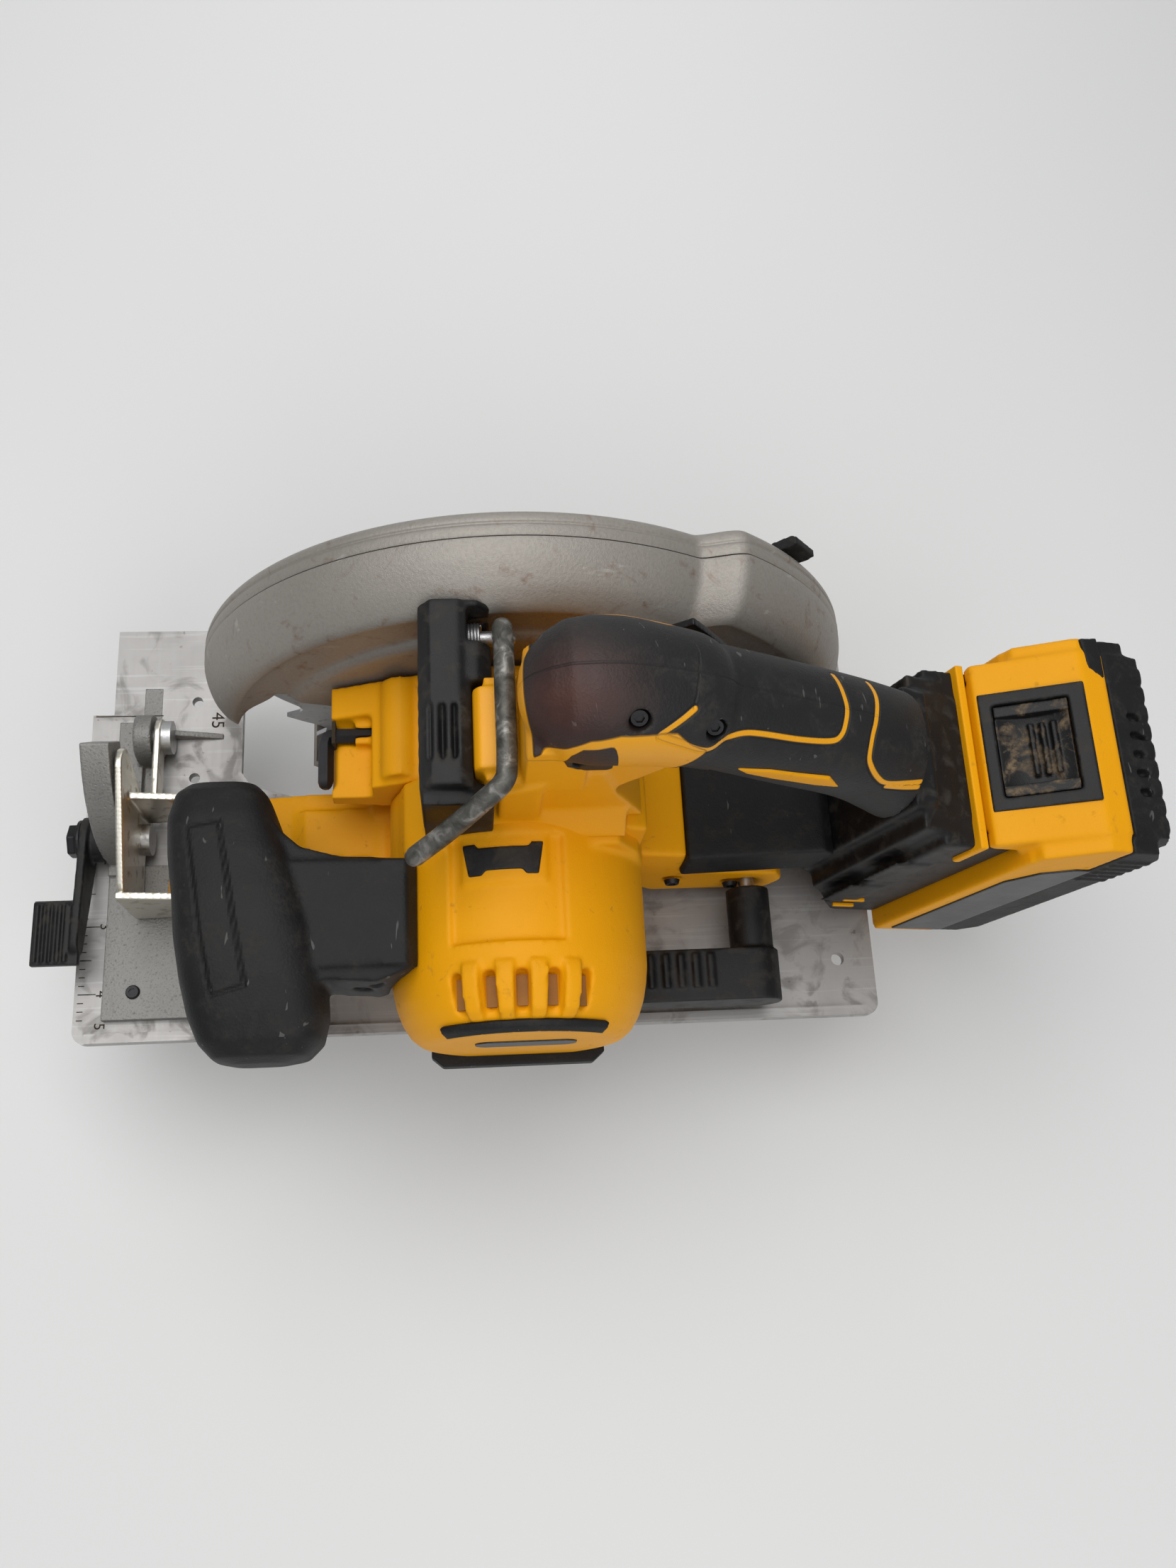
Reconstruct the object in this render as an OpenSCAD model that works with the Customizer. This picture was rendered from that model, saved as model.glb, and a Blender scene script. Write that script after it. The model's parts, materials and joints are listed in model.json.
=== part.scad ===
// Cordless circular saw with a slide-on battery pack.
// X runs to the rear, Y to the blade side, Z up from the underside of the base plate.
// The origin lies on the underside of the base plate, on the cutting line.

/* [Blade and gears] */
// Diameter of the saw blade
blade_d = 184; // [182:1:186]
// Thickness of the blade
blade_t = 1.8; // [1.6:0.1:2.2]
// Depth that the blade reaches below the base plate
cut_depth = 64; // [62:1:65]
// Distance of the blade spindle behind the origin
arbor_x = 136; // [135:1:138]
// Tooth size (module) of the reduction gears
gear_module = 1; // [1:0.05:1]
// Teeth of the large gear on the spindle
gear_teeth = 58; // [58:1:58]
// Teeth of the pinion on the motor shaft
pinion_teeth = 10; // [10:1:10]

/* [Base plate] */
// Length of the base plate
base_l = 302; // [298:1:304]
// Width of the base plate
base_w = 165; // [162:1:168]
// Thickness of the base plate
base_t = 4; // [3.5:0.1:4]
// Distance from the cutting line to the motor-side edge
base_near = 128; // [126:1:130]
// Distance from the origin to the front edge
base_ahead = 28; // [26:1:30]
// Height of the bevel axis above the underside
bevel_z = 12; // [12:0.5:12]
// Largest bevel angle
bevel_max = 50; // [30:1:50]

/* [Guards] */
// Outer radius of the upper guard
guard_r = 115; // [113:1:116]
// Extra radius of the dust chute at the rear of the guard
chute_out = 11; // [8:1:12]
// Outer radius of the lower guard
lower_r = 100; // [98:1:101]

/* [Motor] */
// Outer radius of the motor housing
motor_r = 43; // [42:0.5:43]
// Distance from the blade to the end of the motor housing
motor_end = 128; // [124:1:130]
// Depth of the motor end cap
cap_l = 14; // [12:1:16]

/* [Handles] */
// Distance from the blade to the middle of the main handle
handle_y = 58; // [58:0.5:58]
// Scale of the main handle's thickness
grip_fat = 1; // [0.95:0.01:1.02]
// Length of the front handle
knob_l = 92; // [84:1:92]

/* [Battery] */
// Length of the battery pack
pack_l = 117; // [112:1:118]
// Width of the battery pack
pack_w = 75; // [72:1:76]
// Thickness of the battery pack without its rails
pack_t = 50; // [46:1:50]
// Backward lean of the battery pack
pack_lean = 15; // [15:1:15]

/* [Hidden] */
$fn = 64;

arbor_z = blade_d / 2 - cut_depth;
gear_a = gear_module * (gear_teeth + pinion_teeth) / 2;
motor_dx = 2;
motor_x = arbor_x - motor_dx;
motor_z = arbor_z + sqrt(gear_a * gear_a - motor_dx * motor_dx);
mesh_angle = atan2(motor_z - arbor_z, motor_x - arbor_x);
front_x = -base_ahead;
rear_x = base_l - base_ahead;
far_y = base_w - base_near;
slot_front = 30;
slot_rear = 240;
slot_far = 24;
bevel_y = -12;
quadrant_in = 33;
quadrant_out = 50;
quadrant_bolt_r = 41.5;
quadrant_bolt_a = 2;
pivot_x = 20;
pivot_z = 25;
depth_r = 202;
depth_bolt_x = pivot_x + depth_r;
case_near = -58;
case_far = -20;
wall = 2.5;
hook_x = 129.2;
hook_r = 3.2;
hook_y = -24;
hook_z = 126;
pack_x = 313.8;
pack_z = 57.6;
pack_y = -handle_y;

yellow = [0.95, 0.69, 0.03];
dark = [0.12, 0.12, 0.13];
cast = [0.62, 0.60, 0.57];
zinc = [0.80, 0.80, 0.76];
steel = [0.55, 0.56, 0.58];

// A bar along Y from y0 to y1
module rod_y(r, y0, y1, x, z) {
  translate([x, y1, z]) rotate([90, 0, 0]) cylinder(r = r, h = y1 - y0);
}
// A bar along X from x0 to x1
module rod_x(r, x0, x1, y, z) {
  translate([x0, y, z]) rotate([0, 90, 0]) cylinder(r = r, h = x1 - x0);
}
// A ring along Y
module ring_y(r_out, r_in, y0, y1, x, z) {
  difference() {
    rod_y(r_out, y0, y1, x, z);
    rod_y(r_in, y0 - 1, y1 + 1, x, z);
  }
}
// A box given by its lowest and highest corner
module box(a, b) {
  translate(a) cube(b - a);
}
// A flat outline drawn in X and Z, from y0 to y1
module side_plate(y0, y1) {
  translate([0, y1, 0]) rotate([90, 0, 0]) linear_extrude(y1 - y0) children();
}
// A flat outline drawn in Y and Z, from x0 to x1
module front_plate(x0, x1) {
  translate([x0, 0, 0]) rotate([90, 0, 90]) linear_extrude(x1 - x0) children();
}
// A turned shell about the spindle: profile points are [radius, y], angles run from +X to +Z
module about_spindle(profile, a0, a1) {
  translate([arbor_x, 0, arbor_z]) rotate([90, 0, 0]) rotate([0, 0, a0])
    rotate_extrude(angle = a1 - a0) polygon([for (p = profile) [p[0], -p[1]]]);
}
// A flat sector outline
module sector(r_in, r_out, a0, a1, steps = 24) {
  polygon(concat(
    [for (i = [0:steps]) let (a = a0 + (a1 - a0) * i / steps) r_out * [cos(a), sin(a)]],
    [for (i = [steps:-1:0]) let (a = a0 + (a1 - a0) * i / steps) r_in * [cos(a), sin(a)]]));
}
// A gear outline with straight-sided teeth
module gear_outline(teeth, top, phase) {
  pitch_r = gear_module * teeth / 2;
  root_half = 0.62 / pitch_r * 180 / PI;
  tip_half = 0.22 / pitch_r * 180 / PI;
  root_r = pitch_r - 1;
  tip_r = pitch_r + top;
  polygon([for (i = [0:teeth - 1]) let (a = phase + i * 360 / teeth)
    for (q = [[root_r, -root_half], [tip_r, -tip_half], [tip_r, tip_half], [root_r, root_half]])
      q[0] * [cos(a + q[1]), sin(a + q[1])]]);
}

// ---- Base plate and what is fixed to it ----
module base_plate() {
  lip_h = 6.5;
  lip_w = 3.5;
  corner_r = 5;
  step_x = 8;
  color("silver") difference() {
    union() {
      linear_extrude(base_t) union() {
        hull() {
          for (p = [[front_x, -base_near], [rear_x, -base_near]])
            translate(p + [p[0] < 0 ? corner_r : -corner_r, corner_r]) circle(corner_r, $fn = 32);
          translate([front_x, 0]) square([base_l, 1]);
        }
        translate([front_x + step_x, 0]) square([base_l - step_x, far_y]);
      }
      box([front_x + corner_r, -base_near, 0], [rear_x - corner_r, -base_near + lip_w, lip_h]);
    }
    // opening for the blade, the lower guard and the nose of the gear case
    translate([0, 0, -1]) linear_extrude(base_t + 2) polygon([
      [slot_front, slot_far], [slot_rear, slot_far], [slot_rear, -28], [208, -28],
      [196, -64], [84, -64], [70, -40], [slot_front + 4, -30], [slot_front, -24]]);
    for (p = screw_places()) translate([p[0], p[1], -1]) cylinder(r = 2.1, h = 12, $fn = 24);
    for (y = [-base_near + 22, -base_near + 60]) translate([rear_x - 14, y, -1]) cylinder(r = 2.5, h = 12);
  }
}
// Where screws hold the castings to the base plate
function screw_places() = [[-6, -110], [22, -112], [22, -70], [12, -26], [12, 6],
  [264, -26], [264, 4]];

lug_front = -8.5;
lug_rear = -2;

module bevel_quadrant() {
  pad_h = 4;
  color(cast) difference() {
    union() {
      // slotted arc that the clamp bolt runs in
      front_plate(-17, -7) translate([bevel_y, bevel_z])
        sector(quadrant_in, quadrant_out, 180 - 68, 180 + 8);
      box([-17, -66, base_t], [-7, -42, bevel_z - 2]);
      box([-17, -120, base_t], [30, -62, base_t + pad_h]);
      box([-17, -43, base_t], [lug_front + 1, -3, base_t + 2]);
      // lug for the front bevel pin
      box([lug_front, -32, base_t], [18, 12, base_t + 0.4]);
      box([lug_front, -21, base_t], [lug_rear, -3, bevel_z]);
      rod_x(9, lug_front, lug_rear, bevel_y, bevel_z);
    }
    front_plate(-18, -6) translate([bevel_y, bevel_z])
      sector(quadrant_bolt_r - 3.6, quadrant_bolt_r + 3.6, 180 - 60, 180 + 4);
    rod_x(3.55, lug_front - 1, lug_rear + 1, bevel_y, bevel_z);
    box([-20, -40, 0], [20, 14, base_t]);
    for (p = screw_places()) translate([p[0], p[1], 0]) cylinder(r = 2.1, h = 12, $fn = 24);
    translate([-6, -96, 0]) cylinder(r = 1.6, h = 12, $fn = 24);
  }
}

module rear_pivot_lug() {
  color(cast) difference() {
    union() {
      box([244.5, -32, base_t], [270, 12, base_t + 0.4]);
      box([246, -21, base_t], [252, -3, bevel_z]);
      rod_x(9, 246, 252, bevel_y, bevel_z);
      box([252, -14, base_t], [262, -10, bevel_z]);
    }
    rod_x(3.55, 240, 254, bevel_y, bevel_z);
    box([240, -40, 0], [272, 14, base_t]);
    for (p = screw_places()) translate([p[0], p[1], 0]) cylinder(r = 2.1, h = 12, $fn = 24);
  }
}

module base_screws() {
  head_r = 3.6;
  color(steel) for (p = screw_places()) {
    raised = p[1] < -60 ? 4 : 0.4;
    translate([p[0], p[1], 0.3]) cylinder(r = 2, h = base_t + raised, $fn = 24);
    translate([p[0], p[1], base_t + raised]) cylinder(r = head_r, h = 1.6, $fn = 24);
  }
}

// ---- Frame that tilts for bevel cuts ----
ear_near = -83;
ear_far = -46;
sheet = 2.5;

module bevel_bracket() {
  low = base_t + 5.5;
  color(zinc) difference() {
    union() {
      // web behind the arc
      front_plate(-6, -6 + sheet) hull() {
        translate([ear_near + 4, low + 4]) circle(4, $fn = 32);
        translate([-44, low + 0.5]) square([0.5, 4]);
        translate([-36, 46]) circle(7, $fn = 32);
        translate([ear_near + 8, 34]) circle(7, $fn = 32);
      }
      // ears that hold the depth pivot
      for (y = [ear_near, ear_far]) side_plate(y, y + sheet) hull() {
        translate([-6, low]) square([2, 32]);
        translate([pivot_x, pivot_z]) circle(12, $fn = 32);
      }
      // eye of the front bevel pin
      front_plate(lug_rear + 1, lug_rear + 1 + sheet) union() {
        translate([bevel_y, bevel_z]) circle(7.3);
        translate([ear_far, bevel_z - 2.2]) square([-ear_far + bevel_y, 9.4]);
      }
    }
    rod_x(3.55, lug_rear, 4, bevel_y, bevel_z);
    rod_y(4.05, ear_near - 1, ear_far + 4, pivot_x, pivot_z);
    translate([0, bevel_y - quadrant_bolt_r * cos(quadrant_bolt_a),
      bevel_z + quadrant_bolt_r * sin(quadrant_bolt_a)]) rod_x(3.05, -8, 0, 0, 0);
  }
}

module bevel_pins() {
  color(steel) {
    rod_x(3.5, lug_front, 3, bevel_y, bevel_z);
    rod_x(6.5, lug_rear + 1 + sheet, 5, bevel_y, bevel_z);
    rod_x(3.5, 241, 251.5, bevel_y, bevel_z);
    rod_x(6.5, 238, 241.5, bevel_y, bevel_z);
  }
}

module depth_pivot_pin() {
  color(steel) {
    rod_y(4, ear_near - 4, ear_far + sheet + 1, pivot_x, pivot_z);
    rod_y(7, ear_near - 5, ear_near, pivot_x, pivot_z);
    translate([pivot_x, ear_far + sheet + 5, pivot_z]) rotate([90, 0, 0])
      cylinder(r = 7.5, h = 5, $fn = 6);
  }
}

module depth_quadrant() {
  y0 = -33;
  color(zinc) difference() {
    union() {
      side_plate(y0, y0 + sheet) union() {
        translate([pivot_x, pivot_z]) sector(depth_r - 8, depth_r + 8, -3.5, 38);
        polygon([[213.5, 13], [244.5, 9.8], [244.5, 26], [228, 34], [214.5, 26]]);
      }
      front_plate(242, 242 + sheet) union() {
        translate([bevel_y, bevel_z]) circle(7.3);
        translate([y0, bevel_z - 2.2]) square([-y0 + bevel_y, 12]);
      }
    }
    side_plate(y0 - 1, y0 + sheet + 1) translate([pivot_x, pivot_z])
      sector(depth_r - 3.4, depth_r + 3.4, -1.2, 35.4);
    rod_x(3.55, 240, 247, bevel_y, bevel_z);
  }
}

bolt_y = bevel_y - quadrant_bolt_r * cos(quadrant_bolt_a);
bolt_z = bevel_z + quadrant_bolt_r * sin(quadrant_bolt_a);

module bevel_bolt() {
  color(steel) {
    rod_x(3, -30, -3.5, bolt_y, bolt_z);
    rod_x(6, -3.5, -0.5, bolt_y, bolt_z);
  }
}

module bevel_lever() {
  arm_x = -22.2;
  color(dark) difference() {
    union() {
      front_plate(arm_x - 3, arm_x) hull() {
        translate([bolt_y, bolt_z]) circle(9, $fn = 32);
        translate([-94, 21]) circle(4.5, $fn = 32);
      }
      front_plate(arm_x - 17, arm_x) polygon([[-102, 20], [-79, 20], [-78, 21.5], [-79, 23], [-102, 23]]);
      rod_x(8, arm_x, -17.4, bolt_y, bolt_z);
    }
    rod_x(3.06, -32, -16, bolt_y, bolt_z);
  }
}

module bevel_nut() {
  color(dark) difference() {
    union() {
      translate([-30.5, bolt_y, bolt_z]) rotate([0, 90, 0]) cylinder(r = 6.5, h = 5.2, $fn = 6);
      rod_x(8, -27, -25.3, bolt_y, bolt_z);
    }
    rod_x(3.05, -33, -20, bolt_y, bolt_z);
  }
}

// ---- Guards ----
near_face = -20;
seam_y = 3;

function guard_profile(r) = [[r, seam_y], [r - 1, -3], [r - 4.5, -9.5], [r - 10, -15], [r - 19, -19],
  [r - 26, near_face], [r - 26, near_face + wall], [r - 19, -16.4], [r - 11.4, -12.8], [r - 6.6, -8],
  [r - 3.6, -2], [r - 3, seam_y]];

module upper_guard() {
  chute_r = guard_r + chute_out;
  // flat wall that the gear case bolts to, from radius a to b
  function flat_wall(a, b, inset) = [[a, near_face + inset], [b, near_face + inset],
    [b, near_face + wall - 0.2], [a, near_face + wall - 0.2]];
  color(cast) difference() {
    union() {
      about_spindle(guard_profile(guard_r), 57, 177);
      about_spindle(guard_profile(chute_r), 4, 57);
      about_spindle(flat_wall(28, guard_r - 22, 0.7), 5, 152);
      about_spindle(flat_wall(guard_r - 24, chute_r - 22, 0.9), 6, 55);
      rod_y(34, near_face, near_face + wall, arbor_x, arbor_z);
      // closing wall where the chute begins
      about_spindle([[guard_r - 7, -8.2], [chute_r - 3.6, -8.2], [chute_r - 1.6, seam_y - 0.2],
        [guard_r - 2, seam_y - 0.2]], 56, 58);
    }
    rod_y(22.3, near_face - 1, near_face + 6, arbor_x, arbor_z);
    for (a = [20, 75, 130]) rotate_about(a, 60) rod_y(2.1, near_face - 1, near_face + 6, 0, 0);
  }
}
// Places a child at a radius and angle from the spindle
module rotate_about(a, r) {
  translate([arbor_x + r * cos(a), 0, arbor_z + r * sin(a)]) children();
}

module guard_cover() {
  lip_y = 13;
  chute_r = guard_r + chute_out;
  base_y = seam_y + 0.6;
  // band of the rim and the flange that turns in towards the blade, down to radius inner
  function cover(r, inner) = [[r, base_y], [r, 10], [r - 3, lip_y], [inner, lip_y], [inner, lip_y - 2],
    [r - 4, lip_y - 2], [r - 3, 9.4], [r - 3, base_y]];
  color(cast) union() {
    about_spindle(cover(guard_r, guard_r - 24), 57, 176);
    about_spindle(cover(chute_r, guard_r - 26), 4, 57);
    about_spindle([[guard_r - 2, base_y + 0.2], [chute_r - 1.6, base_y + 0.2], [chute_r - 3.4, lip_y - 1],
      [guard_r - 3.4, lip_y - 1]], 56, 58);
  }
}

module guard_screws() {
  color(steel) for (a = [20, 75, 130]) rotate_about(a, 60) {
    rod_y(2, near_face - 3.5, near_face + wall + 0.2, 0, 0);
    rod_y(3.6, near_face + wall, near_face + wall + 2, 0, 0);
  }
}

module lower_guard() {
  inner = 8.5;
  outer = 10;
  color(cast) difference() {
    union() {
      about_spindle([[28, -outer], [lower_r, -outer], [lower_r, outer], [45, outer], [45, inner],
        [lower_r - 1.5, inner], [lower_r - 1.5, -inner], [28, -inner]], 215, 375);
      // hub that turns on the nose of the gear case, and the eye around the blade bolt
      rod_y(26.5, -16.5, -outer + 0.5, arbor_x, arbor_z);
      rod_y(30, -outer - 0.2, -inner + 0.2, arbor_x, arbor_z);
      rod_y(48, inner - 0.2, outer + 0.2, arbor_x, arbor_z);
    }
    rod_y(22, -20, 0, arbor_x, arbor_z);
    rod_y(38, 0, 20, arbor_x, arbor_z);
  }
}

module guard_lever() {
  lever_a = 40;
  color(dark) translate([arbor_x, 0, arbor_z]) rotate([0, -lever_a, 0]) {
    box([39, 10.2, -7], [58, 14.5, 7]);
    box([39, 14.4, -5], [112, 16.6, 5]);
    hull() {
      box([110, 14.2, -7.5], [112, 17.4, 7.5]);
      box([126, 14.2, -6], [128.5, 18.4, 6]);
    }
  }
}

module guard_spring() {
  color(steel) ring_y(32, 29.8, -15.5, -11.5, arbor_x, arbor_z);
}

// ---- Gear case ----
module gear_case() {
  nose_r = 21.95;
  color(yellow) difference() {
    union() {
      side_plate(case_near, case_far) union() {
        translate([arbor_x, arbor_z]) circle(36);
        translate([motor_x, motor_z]) circle(34);
        polygon([[arbor_x - 36, arbor_z], [arbor_x - 20, -2], [arbor_x + 36, arbor_z], [176, 60],
          [166, 96], [104, 97], [100, 60]]);
        polygon([[72, 66], [104, 60], [104, 90], [98, 88], [72, 78]]);
        polygon([[78, 30], [104, 24], [104, 50], [84, 50]]);
      }
      ring_y(nose_r, 16, case_far - 0.5, -9.5, arbor_x, arbor_z);
      // arm that reaches forward to the depth pivot
      side_plate(-79.5, -47) union() {
        translate([pivot_x, pivot_z]) circle(11);
        polygon([[pivot_x, pivot_z - 11], [104, 14], [104, 48], [60, 44], [pivot_x, pivot_z + 11]]);
      }
      box([90, -79.5, 20], [108, -57, 46]);
    }
    // gear chamber
    rod_y(31.5, case_near + 4, case_far - 4, arbor_x, arbor_z);
    rod_y(16, case_near + 4, case_far - 4, motor_x, motor_z);
    // bearing seats and the spindle
    rod_y(16.02, -30.5, -9, arbor_x, arbor_z);
    rod_y(9, -56, -8, arbor_x, arbor_z);
    rod_y(11.02, case_near - 1, -50, motor_x, motor_z);
    rod_y(14.02, -57, -47, arbor_x, arbor_z);
    rod_y(4.1, -90, -40, pivot_x, pivot_z);
    rod_y(motor_r + 0.1, -90, case_near, motor_x, motor_z);
    for (a = [20, 75, 130]) rotate_about(a, 60) rod_y(2.05, case_far - 6, case_far + 1, 0, 0);
    // slot that stores the key, and the bore of the spindle lock
    rod_x(3.3, 70, 102.5, -36, 74);
    box([71, -54.5, 70.4], [73.4, -36, 77.6]);
    rod_x(5.1, 76, 102, -32, 38);
  }
}

module hex_key() {
  color(dark) {
    translate([70, -36, 74]) rotate([0, 90, 0]) cylinder(r = 2.9, h = 31, $fn = 6);
    translate([70, -33.1, 74]) rotate([90, 0, 0]) cylinder(r = 2.9, h = 20, $fn = 6);
  }
}

module spindle_lock() {
  color(dark) {
    rod_x(5, 70, 84, -32, 38);
    rod_x(2, 84, 97, -32, 38);
  }
}

// ---- Motor ----
module top_vents() {
  for (i = [-2:2]) translate([motor_x + i * 10.5, -motor_end - 3, motor_z + motor_r])
    cube([3.4, 14, 30], center = true);
}

module motor_housing() {
  color(yellow) difference() {
    union() {
      rod_y(motor_r, -motor_end, case_near, motor_x, motor_z);
      // raised shoulder under the main handle
      side_plate(-80, case_near) polygon([[motor_x - 40, 76], [motor_x - 30, 99], [motor_x + 34, 99],
        [motor_x + 42, 74], [motor_x + 30, 60], [motor_x - 30, 60]]);
    }
    rod_y(motor_r - wall, -motor_end - 1, case_near + 1, motor_x, motor_z);
    // cooling slots
    top_vents();
    for (s = [-1, 1]) for (i = [0:3]) translate([motor_x + s * motor_r, -92 - i * 9, motor_z - 6])
      cube([16, 3.4, 18], center = true);
  }
}

module motor_end_cap() {
  y1 = -motor_end;
  y0 = y1 - cap_l;
  color(yellow) difference() {
    translate([motor_x, 0, motor_z]) rotate([90, 0, 0]) rotate_extrude() polygon([
      [11.02, -y1 + 3], [11.02, -y1 + 10.5], [0, -y1 + 10.5], [0, -y0], [motor_r - 9, -y0], [motor_r - 3, -y0 - 3],
      [motor_r, -y0 - 9], [motor_r, -y1], [motor_r - wall, -y1], [motor_r - wall, -y0 - 8],
      [motor_r - 5, -y0 - 4], [motor_r - 10, -y0 - 2.5], [14, -y0 - 2.5], [14, -y1 + 3]]);
    top_vents();
  }
}

module end_bumpers() {
  y0 = -motor_end - cap_l;
  color(dark) for (b = [[-27, 3.5], [27, 1.2]])
    box([motor_x - 27, y0 - b[1], motor_z + b[0] - 3.5], [motor_x + 27, y0, motor_z + b[0] + 3.5]);
}

module stator() {
  color("dimgray") difference() {
    rod_y(motor_r - wall - 0.5, -112, -74, motor_x, motor_z);
    rod_y(24.5, -113, -73, motor_x, motor_z);
  }
}

module windings() {
  color("peru") for (y = [-120.5, -73.5]) ring_y(36, 26, y, y + 8, motor_x, motor_z);
}

module spindle_bearings() {
  color(steel) {
    ring_y(16, 8.02, -29.5, -20.5, arbor_x, arbor_z);
    ring_y(14, 8.02, -54, -46.5, arbor_x, arbor_z);
  }
}

module motor_bearings() {
  color(steel) {
    ring_y(11, 4.02, -57.5, -50.5, motor_x, motor_z);
    ring_y(11, 4.02, -motor_end - 10, -motor_end - 3.5, motor_x, motor_z);
  }
}

module rotor() {
  color("slategray") ring_y(23.5, 4, -113, -73, motor_x, motor_z);
}

module rotor_shaft() {
  color(steel) {
    rod_y(4, -motor_end - 9.8, -46, motor_x, motor_z);
    translate([motor_x, -34, motor_z]) rotate([90, 0, 0]) linear_extrude(12)
      gear_outline(pinion_teeth, 0.75, mesh_angle + 180 + 180 / pinion_teeth);
  }
}

module cooling_fan() {
  blades = 9;
  color(dark) translate([motor_x, -60, motor_z]) rotate([90, 0, 0]) difference() {
    union() {
      cylinder(r = 34, h = 1.5);
      cylinder(r = 9, h = 9);
      for (i = [0:blades - 1]) rotate([0, 0, i * 360 / blades]) translate([8, -0.8, 1])
        cube([25, 1.6, 3.8]);
    }
    translate([0, 0, -1]) cylinder(r = 4, h = 12);
  }
}

// ---- Blade and spindle ----
module blade() {
  teeth = 24;
  tip_r = blade_d / 2;
  pitch = 360 / teeth;
  color("gray") translate([arbor_x, blade_t / 2, arbor_z]) rotate([90, 0, 0]) linear_extrude(blade_t)
    difference() {
      polygon([for (i = [0:teeth - 1]) let (a = i * pitch)
        for (q = [[tip_r, 0], [tip_r - 4, pitch * 0.3], [tip_r - 8, pitch * 0.62], [tip_r - 8.5, pitch * 0.78],
          [tip_r - 6, pitch * 0.92]]) q[0] * [cos(a + q[1]), sin(a + q[1])]]);
      circle(7.95);
    }
}

module spindle() {
  color(steel) difference() {
    union() {
      rod_y(8, -54, -1, arbor_x, arbor_z);
      rod_y(7.93, -1.5, 2.5, arbor_x, arbor_z);
    }
    rod_y(3, -20, 5, arbor_x, arbor_z);
  }
}

module driven_gear() {
  color(steel) translate([arbor_x, -35, arbor_z]) rotate([90, 0, 0]) difference() {
    linear_extrude(10) gear_outline(gear_teeth, 0.75, mesh_angle);
    translate([0, 0, -1]) cylinder(r = 8, h = 12);
  }
}

module inner_flange() {
  color(steel) ring_y(20, 8, -7.5, -blade_t / 2, arbor_x, arbor_z);
}

module outer_flange() {
  color(steel) ring_y(20, 7.95, blade_t / 2, 4.5, arbor_x, arbor_z);
}

module blade_bolt() {
  color(steel) {
    rod_y(2.95, -18, 5, arbor_x, arbor_z);
    rod_y(11, 4.5, 6.5, arbor_x, arbor_z);
    difference() {
      rod_y(7, 6.5, 12, arbor_x, arbor_z);
      translate([arbor_x, 13, arbor_z]) rotate([90, 0, 0]) cylinder(r = 2.9, h = 6, $fn = 6);
    }
  }
}

// ---- Main handle ----
// Stations along the handle: x, z, half height, half width
stations = [[153, 165, 20, 21], [172, 160.4, 19.2, 20], [192, 150, 17.5, 18.5], [214, 137, 18, 18.5],
  [240, 121, 18, 19], [262, 101, 19, 21]];

// Thickness of the soft cover on the handle
grip_skin = 2.1;
ring_n = 20;
last = len(stations) - 1;
// Slope of the handle at a station
function slope(i) = let (a = stations[max(i - 1, 0)], b = stations[min(i + 1, last)])
  atan2(b[1] - a[1], b[0] - a[0]);
// One ring of the loft at station i, moved along the handle by t and shrunk by k
function loft_ring(i, grow, t, k) = let (s = stations[i], d = slope(i), h = (s[2] + grow) * k,
    w = (s[3] + grow) * k * grip_fat, m = t * (s[2] + grow))
  [for (q = [0:ring_n - 1]) let (a = 360 * q / ring_n)
    [s[0] + m * cos(d) - h * cos(a) * sin(d), w * sin(a) - handle_y, s[1] + m * sin(d) + h * cos(a) * cos(d)]];
module handle_form(grow = 0) {
  rounding = [[0, -1, 0.25], [0, -0.9, 0.5], [0, -0.6, 0.82]];
  places = concat(rounding, [for (i = [0:last]) [i, 0, 1]], [[last, 0.7, 0.75]]);
  rings = len(places);
  points = [for (p = places) each loft_ring(p[0], grow, p[1], p[2])];
  polyhedron(points, concat(
    [[for (q = [ring_n - 1:-1:0]) q]],
    [for (r = [0:rings - 2]) for (q = [0:ring_n - 1]) let (n = (q + 1) % ring_n, a = r * ring_n)
      each [[a + q, a + n, a + ring_n + q], [a + n, a + ring_n + n, a + ring_n + q]]],
    [[for (q = [0:ring_n - 1]) (rings - 1) * ring_n + q]]));
}
// Post that carries the front of the handle
module handle_post() {
  hull() {
    box([121, -handle_y - 17, 108], [158, -handle_y + 17, 110]);
    box([123, -handle_y - 15, 134], [158, -handle_y + 15, 137]);
  }
  hull() {
    box([133, -handle_y - 15, 134], [158, -handle_y + 15, 137]);
    translate([151.5, -handle_y, 157]) scale([14, 16, 12]) sphere(1, $fn = 24);
  }
  box([120, -handle_y - 17, 98], [172, -handle_y + 17, 109]);
}
module handle_openings() {
  // recess of the trigger, the switch and the lock-off button
  box([165.5, -handle_y - 7.5, 118], [191, -handle_y + 7.5, 160]);
  box([148, -handle_y - 30, 151], [160, -handle_y + 30, 158]);
  rod_y(motor_r + 0.1, -100, case_near + 0.05, motor_x, motor_z);
  box([60, case_near - 0.05, 60], [200, 0, 98]);
  box([60, -100, 60], [200, case_near, 99.05]);
  foot_cut();
}
// Everything behind the front face of the battery foot
module foot_cut() {
  pack_place() box([-pack_t / 2 - 42.6, -50, -90], [60, 50, 90]);
}
module handle_half(y0, y1) {
  color(yellow) difference() {
    intersection() {
      union() {
        handle_form(-grip_skin);
        handle_post();
      }
      box([90, y0, 60], [300, y1, 220]);
    }
    handle_openings();
    for (p = grip_screws()) rod_y(3.1, -100, -handle_y - 16.4, p[0], p[1]);
  }
}
module handle_left() {
  handle_half(-100, -handle_y);
}
module handle_right() {
  handle_half(-handle_y, 0);
}

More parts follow.
